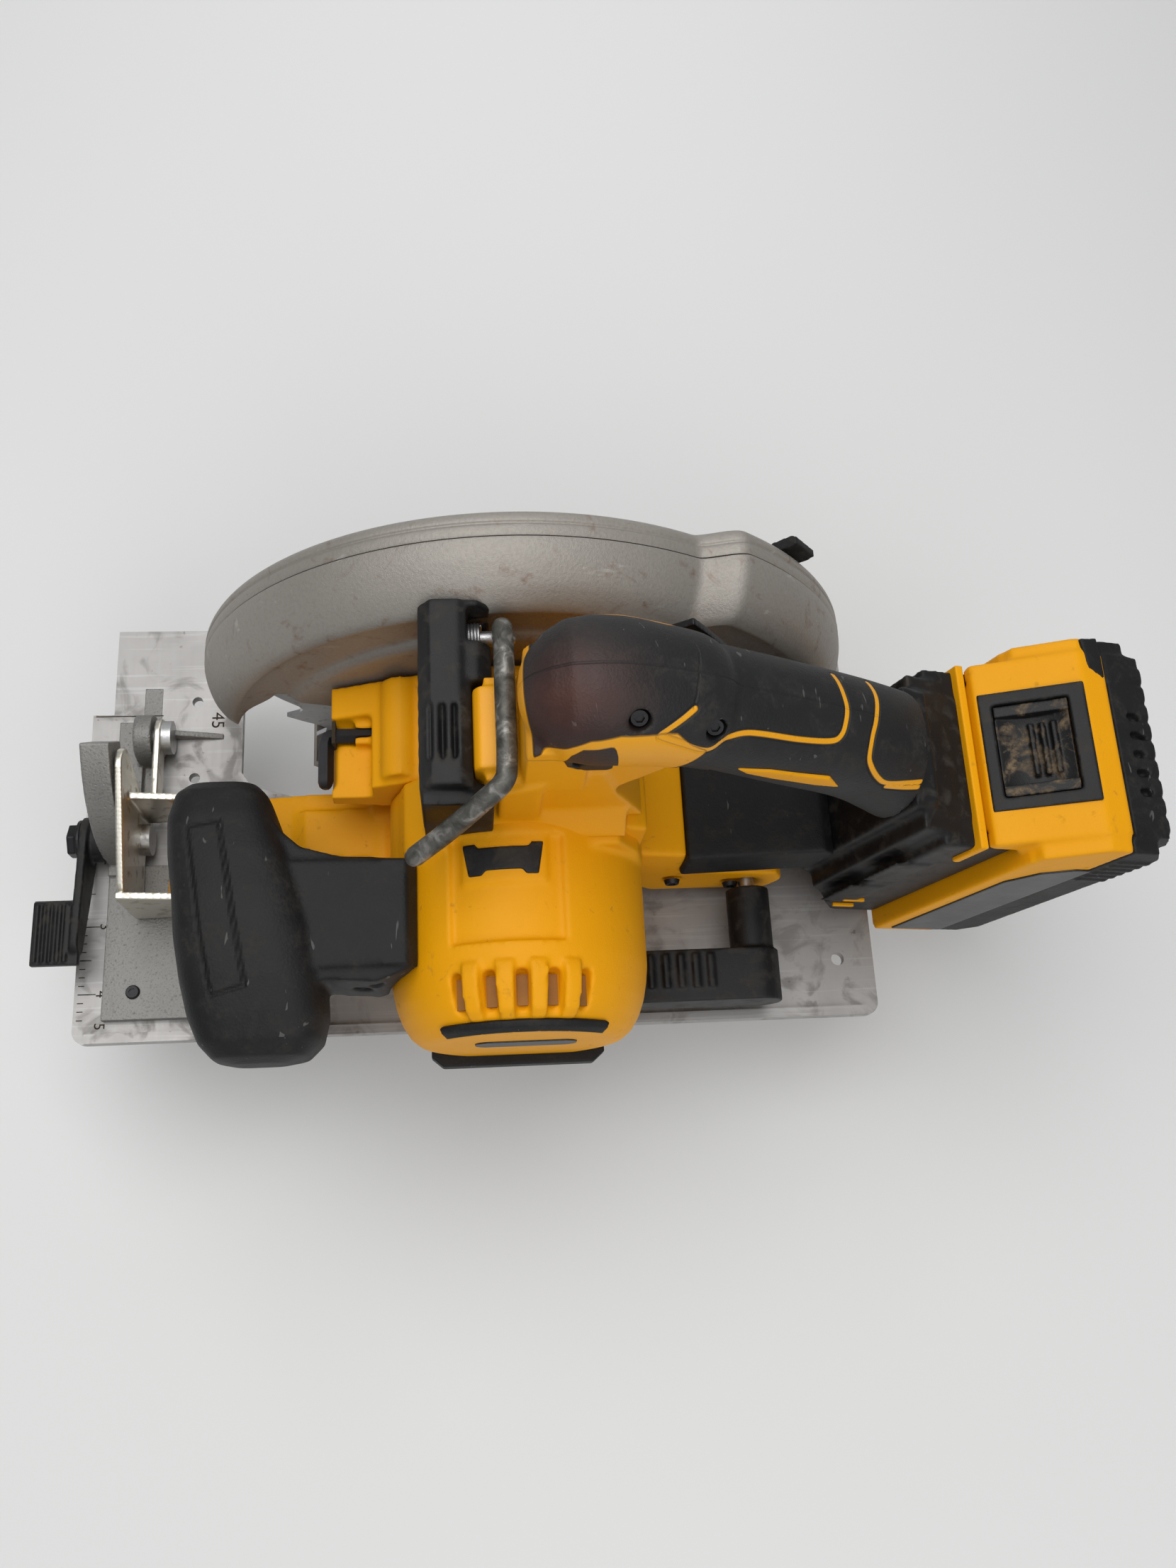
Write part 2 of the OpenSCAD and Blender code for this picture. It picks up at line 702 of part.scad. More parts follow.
module grip_cover() {
  color(dark) difference() {
    intersection() {
      handle_form(0);
        side_plate(-100, 0) polygon([[120, 150], [130, 154], [161, 154], [168, 148], [195, 128],
          [230, 96], [290, 60], [320, 200], [100, 220]]);
    }
    handle_form(-grip_skin);
    handle_post();
    handle_openings();
    for (p = grip_screws()) rod_y(3.6, -100, -handle_y - 12, p[0], p[1]);
  }
}
function grip_screws() = [[168, 158], [193, 147]];

module switch_body() {
  color(dark) box([167, -handle_y - 7, 150.5], [189, -handle_y + 7, 159]);
}

module trigger() {
  color(dark) side_plate(-handle_y - 7, -handle_y + 7) polygon([
    [167, 144.5], [189, 144.5], [189, 131], [184, 126], [179, 125], [172, 131], [167, 138]]);
}

module lock_off_button() {
  color(dark) side_plate(-handle_y - 19.5, -handle_y + 19.5) polygon([[149, 153], [150.5, 151.5],
    [157.5, 151.5], [159, 153], [159, 156], [157.5, 157.5], [150.5, 157.5], [149, 156]]);
}

module housing_screws() {
  color(steel) {
    for (p = grip_screws()) rod_y(3, -handle_y - 19, -handle_y - 16.5, p[0], p[1]);
    for (p = brace_screws()) rod_y(3, brace_near - 0.6, brace_near + 3, p[0], p[1]);
  }
}

// ---- Front handle ----
module front_handle() {
  knob_x = 46.5;
  knob_y = -101;
  knob_z = 80;
  color(dark) difference() {
    union() {
      hull() {
        for (s = [-1, 1]) translate([knob_x, knob_y + s * (knob_l / 2 - 16), knob_z])
          scale([23.5, 16, 22]) sphere(1, $fn = 32);
        translate([knob_x, knob_y, knob_z]) scale([24.5, 22, 22.5]) sphere(1, $fn = 32);
      }
      hull() {
        box([60, knob_y - 17, knob_z - 15], [62, knob_y + 17, knob_z + 15]);
        box([90, knob_y - 19, knob_z - 17], [100, knob_y + 19, knob_z + 14]);
      }
    }
    rod_y(motor_r + 0.1, -150, -60, motor_x, motor_z);
    box([40, knob_y - 12, knob_z - 10], [101, knob_y + 12, knob_z + 8]);
  }
}
module front_handle_core() {
  color("black") difference() {
    box([40.5, -112.5, 70.5], [101, -89.5, 87.5]);
    rod_y(motor_r + 0.1, -150, -60, motor_x, motor_z);
  }
}

// ---- Lower brace, battery foot and depth clamp ----
brace_near = -79;
brace_far = -37;

core_x = 194;
function brace_screws() = [[193, 30], [216, 24]];

module rear_brace() {
  color(yellow) difference() {
    side_plate(brace_near, brace_far) union() {
      polygon([[172, 30], [186, 14], [232, 14], [236, 24], [232, 36], [core_x, 40], [core_x, 62], [176, 66],
        [160, 60]]);
      translate([core_x, 43]) square([239.8 - core_x, 14]);
    }
    rod_y(motor_r + 0.1, -150, case_near + 0.05, motor_x, motor_z);
    side_plate(case_near, case_far) polygon([[90, -10], [150, -10], [180, 40], [177.5, 60], [170, 100],
      [90, 100]]);
    rod_y(3.1, -90, -30, depth_bolt_x, pivot_z);
    for (p = brace_screws()) rod_y(3.4, -90, brace_near + 3, p[0], p[1]);
  }
}

module brace_cover() {
  color(dark) difference() {
    side_plate(brace_near - 1.5, brace_far + 0.9) offset(3, $fn = 24)
      polygon([[core_x, 44], [246, 50], [248, 62], [240, 66], [core_x, 60]]);
    rear_brace_core();
    foot_form();
    box([180, -100, 0], [238, 0, 40.4]);
  }
}
module rear_brace_core() {
  box([core_x - 1, brace_near, 43], [239.8, brace_far, 57]);
  box([core_x - 10, -100, 30], [core_x, 0, 70]);
}

// Frame of the battery pack: X is its thickness, Z its length
module pack_place() {
  translate([pack_x, pack_y, pack_z]) rotate([0, pack_lean, 0]) children();
}
foot_top = 34;
rail_x = -pack_t / 2 - 12.4;
module foot_form() {
  pack_place() hull() {
    box([rail_x - 8, -31, -56], [rail_x, 31, foot_top]);
    box([rail_x - 30, -21, -36], [rail_x - 24, 21, foot_top + 9]);
  }
}
module battery_foot() {
  color(dark) difference() {
    union() {
      foot_form();
      // rails that the pack slides on
      pack_place() for (s = [-1, 1]) {
        box([rail_x, s > 0 ? 27 : -31, -56], [-pack_t / 2 - 0.6, s > 0 ? 31 : -27, foot_top]);
        box([rail_x + 5.8, s > 0 ? 20.6 : -28, -56], [rail_x + 9, s > 0 ? 28 : -20.6, foot_top]);
      }
    }
    pack_place() box([rail_x - 7.6, -16, -30], [rail_x + 1, 16, 10]);
    pack_place() box([rail_x - 23.6, -18, -22], [rail_x - 8.6, 18, 22]);
  }
}
module terminal_block() {
  color("black") pack_place() {
    box([rail_x - 7.4, -15, -29], [rail_x - 0.4, 15, 9]);
  }
}
module controller() {
  color("darkgreen") pack_place() box([rail_x - 22.6, -17, -21], [rail_x - 9.6, 17, 21]);
}

module depth_bolt() {
  color(steel) {
    rod_y(3, -114, -30.2, depth_bolt_x, pivot_z);
    rod_y(7, -30.2, -26.5, depth_bolt_x, pivot_z);
    ring_y(8, 3, -36.6, -33.2, depth_bolt_x, pivot_z);
  }
}

module depth_lever() {
  color(dark) difference() {
    union() {
      rod_y(8, -106, -82.5, depth_bolt_x, pivot_z);
      side_plate(-125, -106) hull() {
        translate([depth_bolt_x, pivot_z]) circle(9.5, $fn = 32);
        translate([depth_bolt_x - 42, pivot_z + 1]) circle(7.5, $fn = 32);
      }
    }
    rod_y(3.06, -116, -80, depth_bolt_x, pivot_z);
  }
}

// ---- Rafter hook ----
module hook_mount() {
  color(dark) difference() {
    union() {
      side_plate(-73, -32) polygon([[104, 90], [119.5, 96], [119.5, 136], [116, 139], [107, 138],
        [104, 134]]);
      side_plate(-40.5, -16) polygon([[104, 96], [125.4, 100], [125.4, 134], [121, 138.5], [107, 138],
        [104, 134]]);
    }
    rod_y(motor_r + 0.1, -150, case_near + 0.05, motor_x, motor_z);
    box([90, case_near, 60], [200, -10, 97.1]);
    side_plate(-80, case_near) offset(0.1) polygon([[motor_x - 40, 76], [motor_x - 30, 99],
      [motor_x + 34, 99], [motor_x + 42, 74]]);
    rod_x(2.65, 105, 127, hook_y, hook_z);
    // follows the shoulder of the upper guard
    about_spindle([[60, near_face - 0.3], [guard_r - 26, near_face - 0.3], [guard_r - 18.7, -19.3],
      [guard_r - 9.7, -15.3], [guard_r - 4.2, -9.8], [guard_r, 0], [60, 0]], 80, 125);
    box([117, -30, hook_z - 6], [127, -14, hook_z + 16]);
  }
}

// A round bar between two points
module hook_bar(a, b) {
  hull() {
    translate(a) sphere(hook_r, $fn = 24);
    translate(b) sphere(hook_r, $fn = 24);
  }
}
module rafter_hook() {
  shoulder = [hook_x, hook_y - 16, hook_z + 18];
  bend = [hook_x, -75, hook_z + 18];
  color("gray") {
    rod_x(2.6, 106, hook_x + 1, hook_y, hook_z);
    hook_bar([hook_x, hook_y, hook_z], shoulder);
    hook_bar(shoulder, bend);
    hook_bar(bend, [101, -92, 121]);
  }
}

module hook_spring() {
  color(steel) difference() {
    rod_x(5.2, 117.6, 123, hook_y, hook_z);
    rod_x(3.8, 116, 124, hook_y, hook_z);
  }
}

// ---- Battery pack ----
half_l = pack_l / 2;
half_t = pack_t / 2;
// Frame of the release button: Z points out of the sloping face of the head
module release_place() {
  pack_place() translate([-22.5, 0, half_l - 10.25]) rotate([0, -35.3, 0]) children();
}
module battery_case() {
  color(yellow) difference() {
    pack_place() difference() {
      union() {
        box([-half_t, -pack_w / 2, -half_l], [2, pack_w / 2, half_l - 20]);
        // head with the sloping face
        side_plate(-33, 33) polygon([[2, foot_top + 0.5], [2, half_l], [-8, half_l], [-37, half_l - 20.5],
          [-37, foot_top + 0.5]]);
        side_plate(-pack_w / 2, pack_w / 2) polygon([[2, foot_top + 0.5], [2, half_l], [-8, half_l],
          [-half_t, half_l - 12], [-half_t, foot_top + 0.5]]);
        box([-half_t - 12, -25, -half_l], [-half_t, 25, foot_top + 1]);
      }
      box([-half_t + 3, -pack_w / 2 + 3, -half_l + 3], [4, pack_w / 2 - 3, half_l - 14]);
      for (s = [-1, 1]) box([-half_t - 7, s > 0 ? 20 : -26, -half_l - 1],
        [-half_t - 3, s > 0 ? 26 : -20, foot_top + 0.5]);
    }
    release_place() box([-13, -17, -11], [13, 17, 1]);
  }
}
module battery_base() {
  edge_x = half_t - 7;
  back_x = half_t - 2.5;
  color(dark) pack_place() difference() {
    union() {
      box([2, -pack_w / 2, -half_l], [edge_x, pack_w / 2, half_l]);
      hull() {
        box([edge_x - 0.1, -pack_w / 2, -half_l], [edge_x, pack_w / 2, half_l]);
        box([back_x - 0.1, -pack_w / 2 + 6, -half_l + 6], [back_x, pack_w / 2 - 6, half_l - 6]);
      }
    }
    box([1, -pack_w / 2 + 3, -half_l + 3], [back_x - 2, pack_w / 2 - 3, half_l - 14]);
  }
}
module battery_cells() {
  cell_r = 10.2;
  color("teal") pack_place() for (i = [-1.5, -0.5, 0.5, 1.5]) for (j = [-0.5, 0.5])
    translate([j * 20.6 - 1, -34, i * 21.4 - 5]) rotate([-90, 0, 0]) cylinder(r = cell_r, h = 68, $fn = 48);
}
module battery_release() {
  color(dark) release_place() difference() {
    box([-12, -16, -7], [12, 16, 0]);
    // finger scoop
    translate([0, 0, 21]) rotate([90, 0, 0]) cylinder(r = 23, h = 24, center = true);
  }
}

base_plate();
bevel_quadrant();
rear_pivot_lug();
base_screws();
bevel_bracket();
bevel_pins();
depth_pivot_pin();
depth_quadrant();
bevel_bolt();
bevel_lever();
bevel_nut();
upper_guard();
guard_cover();
guard_screws();
gear_case();
hex_key();
motor_housing();
motor_end_cap();
end_bumpers();
housing_screws();
stator();
windings();
spindle_bearings();
motor_bearings();
controller();
rotor();
rotor_shaft();
cooling_fan();
blade();
spindle();
driven_gear();
inner_flange();
outer_flange();
blade_bolt();
lower_guard();
guard_lever();
guard_spring();
handle_left();
handle_right();
grip_cover();
switch_body();
trigger();
lock_off_button();
front_handle();
front_handle_core();
rear_brace();
brace_cover();
battery_foot();
terminal_block();
hook_mount();
rafter_hook();
hook_spring();
spindle_lock();
depth_bolt();
depth_lever();
battery_case();
battery_base();
battery_cells();
battery_release();
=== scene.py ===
"""A cordless circular saw: shells, castings, rubber and small parts around the frame."""

import json
import math

import bmesh
import bpy
import numpy as np
from mathutils import Matrix, Vector
from mathutils.bvhtree import BVHTree


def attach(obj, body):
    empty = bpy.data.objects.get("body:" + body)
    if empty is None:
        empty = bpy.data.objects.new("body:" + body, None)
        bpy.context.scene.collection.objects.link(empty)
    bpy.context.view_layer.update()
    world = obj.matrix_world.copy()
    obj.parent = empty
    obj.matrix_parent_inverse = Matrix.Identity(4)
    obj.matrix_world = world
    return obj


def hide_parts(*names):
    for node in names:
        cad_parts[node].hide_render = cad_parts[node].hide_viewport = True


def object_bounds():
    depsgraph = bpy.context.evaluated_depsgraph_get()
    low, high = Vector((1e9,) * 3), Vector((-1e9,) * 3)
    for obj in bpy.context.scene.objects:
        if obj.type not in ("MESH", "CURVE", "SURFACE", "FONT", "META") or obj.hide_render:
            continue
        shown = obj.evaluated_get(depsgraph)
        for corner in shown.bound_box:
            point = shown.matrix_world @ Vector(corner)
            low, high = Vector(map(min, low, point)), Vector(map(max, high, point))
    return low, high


MM = 0.001
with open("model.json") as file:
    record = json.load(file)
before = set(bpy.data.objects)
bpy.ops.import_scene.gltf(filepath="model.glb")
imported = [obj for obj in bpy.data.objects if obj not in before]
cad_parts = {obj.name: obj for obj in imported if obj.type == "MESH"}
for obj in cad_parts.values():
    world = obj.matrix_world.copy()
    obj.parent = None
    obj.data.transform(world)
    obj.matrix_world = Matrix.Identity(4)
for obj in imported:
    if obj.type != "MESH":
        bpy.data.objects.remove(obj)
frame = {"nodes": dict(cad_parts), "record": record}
cad_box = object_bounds()

# Sizes in millimetres, in the frame's own axes
ARBOR = (136.0, 28.0)  # x, z of the blade's axis
GUARD_R = 115.0
GUARD_WALL = 2.4
CHUTE = 11.0  # how far the dust chute bulges past the guard
GUARD_LEVER_LEAN = math.radians(40)
MOTOR = (134.0, 61.94)  # x, z of the motor's axis
MOTOR_R = 43.0
CAP_Y = -142.0  # face of the end cap
SLOT_PLACES = (-22.0, -11.5, -1.0, 9.5, 20.0)  # cooling slots, along X from the motor's axis
HANDLE_Y = -58.0  # middle of the handle
PACK = Vector((313.8, -58.0, 57.6))  # middle of the battery pack
PACK_LEAN = math.radians(15)
LATCH = Vector((-22.5, 0.0, 48.25))  # release button, in the pack's axes
LATCH_LEAN = math.radians(35.3)
PLATE_TOP = 4.0
PLATE_FRONT = -28.0
RULER_ZERO = -8.0
INCH = 25.4
GROUND = cad_box[0][2] / MM

# Linear colours
YELLOW = (0.87, 0.385, 0.0006, 1)
YELLOW_DEEP = (0.72, 0.285, 0.0005, 1)
BLACK = (0.0065, 0.0065, 0.007, 1)
DUST = (0.10, 0.085, 0.065, 1)
CAST = (0.30, 0.275, 0.245, 1)
ALUMINIUM = (0.43, 0.415, 0.405, 1)
ZINC = (0.66, 0.62, 0.50, 1)
STEEL = (0.42, 0.42, 0.43, 1)


# ---- Finishes ----
class Field:
    """A number that changes over a surface; operators add Math nodes."""

    def __init__(self, finish, socket):
        self.finish, self.socket = finish, socket

    def math(self, operation, a, b=None, clamp=False):
        values = {0: a} if b is None else {0: a, 1: b}
        node = self.finish.node("Math", {"operation": operation, "use_clamp": clamp}, values)
        return Field(self.finish, node.outputs[0])

    def __add__(self, other):
        return self.math("ADD", self, other)

    __radd__ = __add__

    def __sub__(self, other):
        return self.math("SUBTRACT", self, other)

    def __rsub__(self, other):
        return self.math("SUBTRACT", other, self)

    def __mul__(self, other):
        return self.math("MULTIPLY", self, other)

    __rmul__ = __mul__

    def over(self, edge, soft):
        """0 below edge and 1 above it, with a soft step."""
        return ((self - (edge - soft)) * (0.5 / soft)).clamped()

    def clamped(self):
        return self.math("ADD", self, 0.0, clamp=True)

class Finish:
    """One material: a principled surface, with its patterns in millimetres."""

    def __init__(self, name):
        self.material = bpy.data.materials.new(name)
        self.material.use_nodes = True
        self.tree = self.material.node_tree
        self.tree.nodes.clear()
        self.out = self.node("OutputMaterial")
        self.shader = self.node("BsdfPrincipled")
        self.tree.links.new(self.shader.outputs[0], self.out.inputs[0])
        coord = self.node("TexCoord")
        scale = self.node("VectorMath", {"operation": "SCALE"}, {0: coord.outputs["Object"], "Scale": 1 / MM})
        self.place = scale.outputs[0]

    def node(self, kind, settings=None, values=None):
        made = self.tree.nodes.new("ShaderNode" + kind)
        for key, value in (settings or {}).items():
            setattr(made, key, value)
        for key, value in (values or {}).items():
            self.feed(made.inputs[key], value)
        return made

    def feed(self, socket, value):
        """Links a field or a socket, or sets a plain value."""
        if isinstance(value, Field):
            value = value.socket
        if isinstance(value, bpy.types.NodeSocket):
            self.tree.links.new(value, socket)
        else:
            socket.default_value = value

    def noise(self, size, detail=3.0, stretch=(1, 1, 1), twist=0.0):
        at = self.node("VectorMath", {"operation": "MULTIPLY"}, {0: self.place, 1: stretch})
        made = self.node("TexNoise", {}, {"Vector": at.outputs[0], "Scale": 1 / size, "Detail": detail,
                                          "Roughness": 0.55, "Distortion": twist})
        return Field(self, made.outputs[0])

    def cells(self, size):
        made = self.node("TexVoronoi", {"feature": "F1"}, {"Vector": self.place, "Scale": 1 / size})
        return Field(self, made.outputs["Distance"])

    def axis(self, name):
        split = self.node("SeparateXYZ", {}, {0: self.place})
        return Field(self, split.outputs[name])

    def attribute(self, name):
        return Field(self, self.node("Attribute", {"attribute_name": name}).outputs["Fac"])

    def mix(self, amount, a, b):
        made = self.node("Mix", {"data_type": "RGBA"}, {0: amount, 6: a, 7: b})
        return made.outputs[2]

    def bump(self, height, depth):
        return self.node("Bump", {}, {"Height": height, "Distance": depth * MM, "Strength": 1.0}).outputs[0]

    def set(self, **values):
        names = {"color": "Base Color", "rough": "Roughness", "metal": "Metallic", "normal": "Normal",
                 "specular": "Specular IOR Level"}
        for key, value in values.items():
            self.feed(self.shader.inputs[names[key]], value)
        return self.material


def moulded_yellow():
    """Fine-textured yellow plastic, a little uneven, with brown scuffs."""
    f = Finish("moulded_yellow")
    soft, fine = f.noise(26, 4), f.noise(0.5, 2)
    scuffs = f.noise(7, 5, twist=1.2).over(0.66, 0.03) * f.noise(2.0, 2).over(0.5, 0.2)
    color = f.mix(soft * 0.55, YELLOW, YELLOW_DEEP)
    color = f.mix(scuffs * 0.35, color, (0.16, 0.11, 0.03, 1))
    return f.set(color=color, rough=0.46 + soft * 0.16 + scuffs * 0.2, specular=0.22,
                 normal=f.bump(fine * 0.6 + scuffs * -0.5, 0.11))


def rubber_parts(f):
    """Colour, roughness and height of the black rubber, for the finishes that use it."""
    grain, patch, fine = f.cells(0.9), f.noise(18, 4), f.noise(0.4, 2)
    dust = f.noise(9, 6, twist=0.8).over(0.6, 0.12) * f.noise(1.4, 3).over(0.52, 0.2)
    scratch = f.noise(2.6, 2, stretch=(1, 0.2, 1), twist=0.5).over(0.71, 0.012)
    mark = f.attribute("mark")
    color = f.mix(patch.over(0.55, 0.3) * 0.5, BLACK, (0.017, 0.017, 0.018, 1))
    color = f.mix(dust * 0.28, color, DUST)
    color = f.mix(scratch * 0.6, color, (0.12, 0.12, 0.115, 1))
    # The pressed marks are darkened here: painted shade in their grooves, on top of their bump.
    color = f.mix(mark * 0.7, color, (0.002, 0.002, 0.002, 1))
    return color, 0.5 + patch * 0.2 + dust * 0.2, grain * 0.5 + fine * 0.4 - scratch * 0.6 - mark * 4.0


def black_rubber():
    """Grained rubber with dust, fine scratches and pressed marks; the marks' darker colour is painted shade in their
    grooves.
    """
    f = Finish("black_rubber_skin")
    color, rough, height = rubber_parts(f)
    return f.set(color=color, rough=rough, specular=0.3, normal=f.bump(height, 0.13))


def black_moulding():
    """Hard black plastic with a little dust."""
    f = Finish("black_moulding")
    fine, patch = f.noise(0.45, 2), f.noise(14, 4)
    dust = f.noise(6, 6, twist=0.5).over(0.6, 0.1)
    color = f.mix(dust * 0.3, (0.008, 0.008, 0.0085, 1), DUST)
    color = f.mix(patch.over(0.6, 0.1) * 0.3, color, (0.022, 0.022, 0.023, 1))
    return f.set(color=color, rough=0.4 + patch * 0.22 + dust * 0.2, specular=0.32,
                 normal=f.bump(fine, 0.07))


def dusty_moulding():
    """Hard black plastic with sawdust caught on it."""
    f = Finish("dusty_moulding")
    fine, patch = f.noise(0.45, 2), f.noise(7, 5, twist=0.6)
    dust = patch.over(0.57, 0.07) * f.noise(1.2, 3).over(0.42, 0.2)
    color = f.mix(dust * 0.75, (0.009, 0.009, 0.0095, 1), (0.24, 0.17, 0.10, 1))
    return f.set(color=color, rough=0.45 + dust * 0.4, specular=0.3, normal=f.bump(fine + dust, 0.08))


def cast_satin():
    """Sand-blasted magnesium casting with brown stains and rubbed streaks."""
    f = Finish("satin_casting")
    cloud, grain, fine = f.noise(38, 4), f.noise(1.1, 3), f.noise(0.35, 2)
    stain = f.noise(12, 6, twist=1.5).over(0.63, 0.05) * f.noise(2.5, 3).over(0.5, 0.15)
    rubbed = f.noise(5, 4, stretch=(0.25, 1, 1)).over(0.69, 0.03)
    color = f.mix(cloud * 0.6, CAST, (0.40, 0.375, 0.34, 1))
    color = f.mix(grain.over(0.56, 0.1) * 0.16, color, (0.17, 0.155, 0.14, 1))
    color = f.mix(stain * 0.55, color, (0.17, 0.075, 0.035, 1))
    color = f.mix(rubbed * 0.4, color, (0.55, 0.53, 0.5, 1))
    return f.set(color=color, metal=0.45, rough=0.40 + cloud * 0.16 + grain * 0.06,
                 normal=f.bump(grain * 0.8 + fine * 0.5, 0.16))


def cast_rough():
    """Raw grey casting with pits."""
    f = Finish("rough_casting")
    cloud, grain = f.noise(16, 5), f.noise(0.8, 3)
    pits = f.cells(2.4).over(0.12, 0.08)
    color = f.mix(cloud, (0.20, 0.195, 0.185, 1), (0.33, 0.32, 0.30, 1))
    color = f.mix(grain.over(0.62, 0.06) * 0.4, color, (0.07, 0.065, 0.06, 1))
    return f.set(color=color, metal=0.55, rough=0.46 + cloud * 0.16,
                 normal=f.bump(grain + pits * 0.6, 0.22))


def worn_plate():
    """Aluminium plate with fine scratches, stains and darker worn zones."""
    f = Finish("worn_plate")
    lines = f.noise(1.6, 3, stretch=(0.03, 1, 1))
    cross = f.noise(1.4, 2, stretch=(1, 0.05, 1), twist=0.2)
    cloud, spots = f.noise(30, 5, twist=0.6), f.noise(3.5, 5)
    stain = f.noise(17, 6, twist=1.3).over(0.58, 0.06)
    rust = spots.over(0.70, 0.03) * cloud.over(0.5, 0.1)
    color = f.mix(cloud * 0.7, ALUMINIUM, (0.29, 0.28, 0.27, 1))
    color = f.mix(stain * 0.45, color, (0.20, 0.19, 0.175, 1))
    color = f.mix(lines.over(0.6, 0.05) * 0.3, color, (0.56, 0.55, 0.54, 1))
    color = f.mix(rust * 0.6, color, (0.13, 0.055, 0.022, 1))
    return f.set(color=color, metal=0.8, rough=0.36 + cloud * 0.2 + stain * 0.14 + cross * 0.08,
                 normal=f.bump(lines * 0.5 + cross * 0.25, 0.06))


def zinc_plated():
    """Yellowish zinc on sheet steel, with grime."""
    f = Finish("zinc_plated")
    cloud, fine = f.noise(9, 4, twist=0.7), f.noise(0.6, 3)
    grime = f.noise(5, 6).over(0.62, 0.06)
    color = f.mix(cloud, ZINC, (0.72, 0.70, 0.66, 1))
    color = f.mix(grime * 0.5, color, (0.16, 0.13, 0.10, 1))
    return f.set(color=color, metal=0.95, rough=0.24 + cloud * 0.16 + grime * 0.2,
                 normal=f.bump(fine, 0.03))


def turned_steel():
    """Bright machined steel with specks of grime."""
    f = Finish("turned_steel")
    cloud, fine = f.noise(6, 4), f.noise(0.5, 3)
    grime = f.noise(3, 5).over(0.64, 0.06)
    color = f.mix(cloud, STEEL, (0.62, 0.62, 0.61, 1))
    color = f.mix(grime * 0.5, color, (0.1, 0.075, 0.05, 1))
    return f.set(color=color, metal=0.95, rough=0.28 + cloud * 0.2, normal=f.bump(fine, 0.03))


def worn_bar():
    """Dull grey bar, rubbed a little brighter in places."""
    f = Finish("worn_bar")
    wear, fine = f.noise(5, 6, twist=0.9), f.noise(0.7, 3)
    bare, dark = wear.over(0.60, 0.07), wear.over(0.42, 0.1)
    color = f.mix(dark, (0.055, 0.054, 0.048, 1), (0.125, 0.122, 0.108, 1))
    color = f.mix(bare * 0.8, color, (0.36, 0.35, 0.33, 1))
    return f.set(color=color, metal=0.6, rough=0.52 - bare * 0.1, normal=f.bump(fine + bare * -0.5, 0.08))


def plain_metal(name, dark, light, rough):
    """Metal that is clouded from a dark to a light colour."""
    f = Finish(name)
    cloud, fine = f.noise(7, 4), f.noise(0.6, 3)
    return f.set(color=f.mix(cloud, dark, light), metal=0.85, rough=rough + cloud * 0.15,
                 normal=f.bump(fine, 0.04))


def plain_plastic(name, dark, light, rough):
    """Plastic or lacquer that is clouded from a dark to a light colour."""
    f = Finish(name)
    cloud, fine = f.noise(9, 4), f.noise(0.5, 2)
    return f.set(color=f.mix(cloud, dark, light), rough=rough + cloud * 0.15, normal=f.bump(fine, 0.05))


def handle_skin():
    """Black overmould on the yellow handle: attributes hold the edge, the accent lines and the worn top; the cover
    also holds a black window painted as shade at the lock-off slot.
    """
    f = Finish("handle_skin")
    black, rough, height = rubber_parts(f)
    cover = f.attribute("cover").over(0.0, 0.25)
    line = 1 - f.attribute("accent").over(0.85, 0.15)
    groove = 1 - f.attribute("accent").over(1.4, 0.3)
    seam = 1 - f.attribute("parting").over(0.35, 0.2)
    warm = f.attribute("worn") * (f.noise(9, 5, twist=0.8) * 0.6 + 0.5).clamped()
    black = f.mix(warm * 0.75, black, (0.085, 0.022, 0.012, 1))
    # The parting line and the crease across the top are darkened: the parting line is a dark joint, the crease's
    # darkening is painted shade.
    black = f.mix(seam * 0.5, black, (0.004, 0.004, 0.004, 1))
    soft, fine = f.noise(26, 4), f.noise(0.5, 2)
    yellow = f.mix(soft * 0.55, YELLOW, YELLOW_DEEP)
    shown = cover * (1 - line)
    color = f.mix(shown, yellow, black)
    height = height * cover + fine * 0.5 - groove * 3.0 + line * 2.0 + cover * 5.0 - seam * 2.0
    return f.set(color=color, rough=(rough - warm * 0.1) * shown + (0.4 + soft * 0.1) * (1 - shown),
                 specular=0.45, normal=f.bump(height, 0.14))


def striped_label():
    """Black glossy label with slanting stripes in place of lettering."""
    f = Finish("striped_label")
    slant = f.axis("X") + f.axis("Z") * 1.6
    wave = slant.math("SINE", slant * 2.4)
    fine, patch = f.noise(0.5, 2), f.noise(10, 4)
    color = f.mix(wave.over(0.2, 0.3) * 0.6, (0.008, 0.008, 0.009, 1), (0.028, 0.028, 0.03, 1))
    return f.set(color=color, rough=0.32 + patch * 0.15, normal=f.bump(fine, 0.03))


YELLOW_SHELL, RUBBER, MOULDING, DUSTY = moulded_yellow(), black_rubber(), black_moulding(), dusty_moulding()
CASTING, ROUGH_CAST, PLATE = cast_satin(), cast_rough(), worn_plate()
ZINC_PLATE, BRIGHT, BAR, SKIN, LABEL = zinc_plated(), turned_steel(), worn_bar(), handle_skin(), striped_label()
DARK_METAL = plain_metal("black_oxide", (0.02, 0.02, 0.022, 1), (0.05, 0.05, 0.052, 1), 0.4)
COPPER = plain_metal("copper_wire", (0.42, 0.16, 0.07, 1), (0.6, 0.26, 0.12, 1), 0.35)
BOARD = plain_plastic("circuit_board", (0.01, 0.06, 0.025, 1), (0.02, 0.12, 0.05, 1), 0.4)
WRAP = plain_plastic("cell_wrap", (0.02, 0.13, 0.17, 1), (0.04, 0.22, 0.27, 1), 0.3)
RUSTY = plain_plastic("slot_floor", (0.20, 0.085, 0.012, 1), (0.34, 0.15, 0.03, 1), 0.7)
# Dark brown-black: print for the ruler ticks and numbers, and a painted-shade sheet in the key's slot.
PRINT_AND_SHADE = plain_plastic("print_and_slot_shade", (0.012, 0.009, 0.005, 1), (0.05, 0.033, 0.012, 1), 0.8)


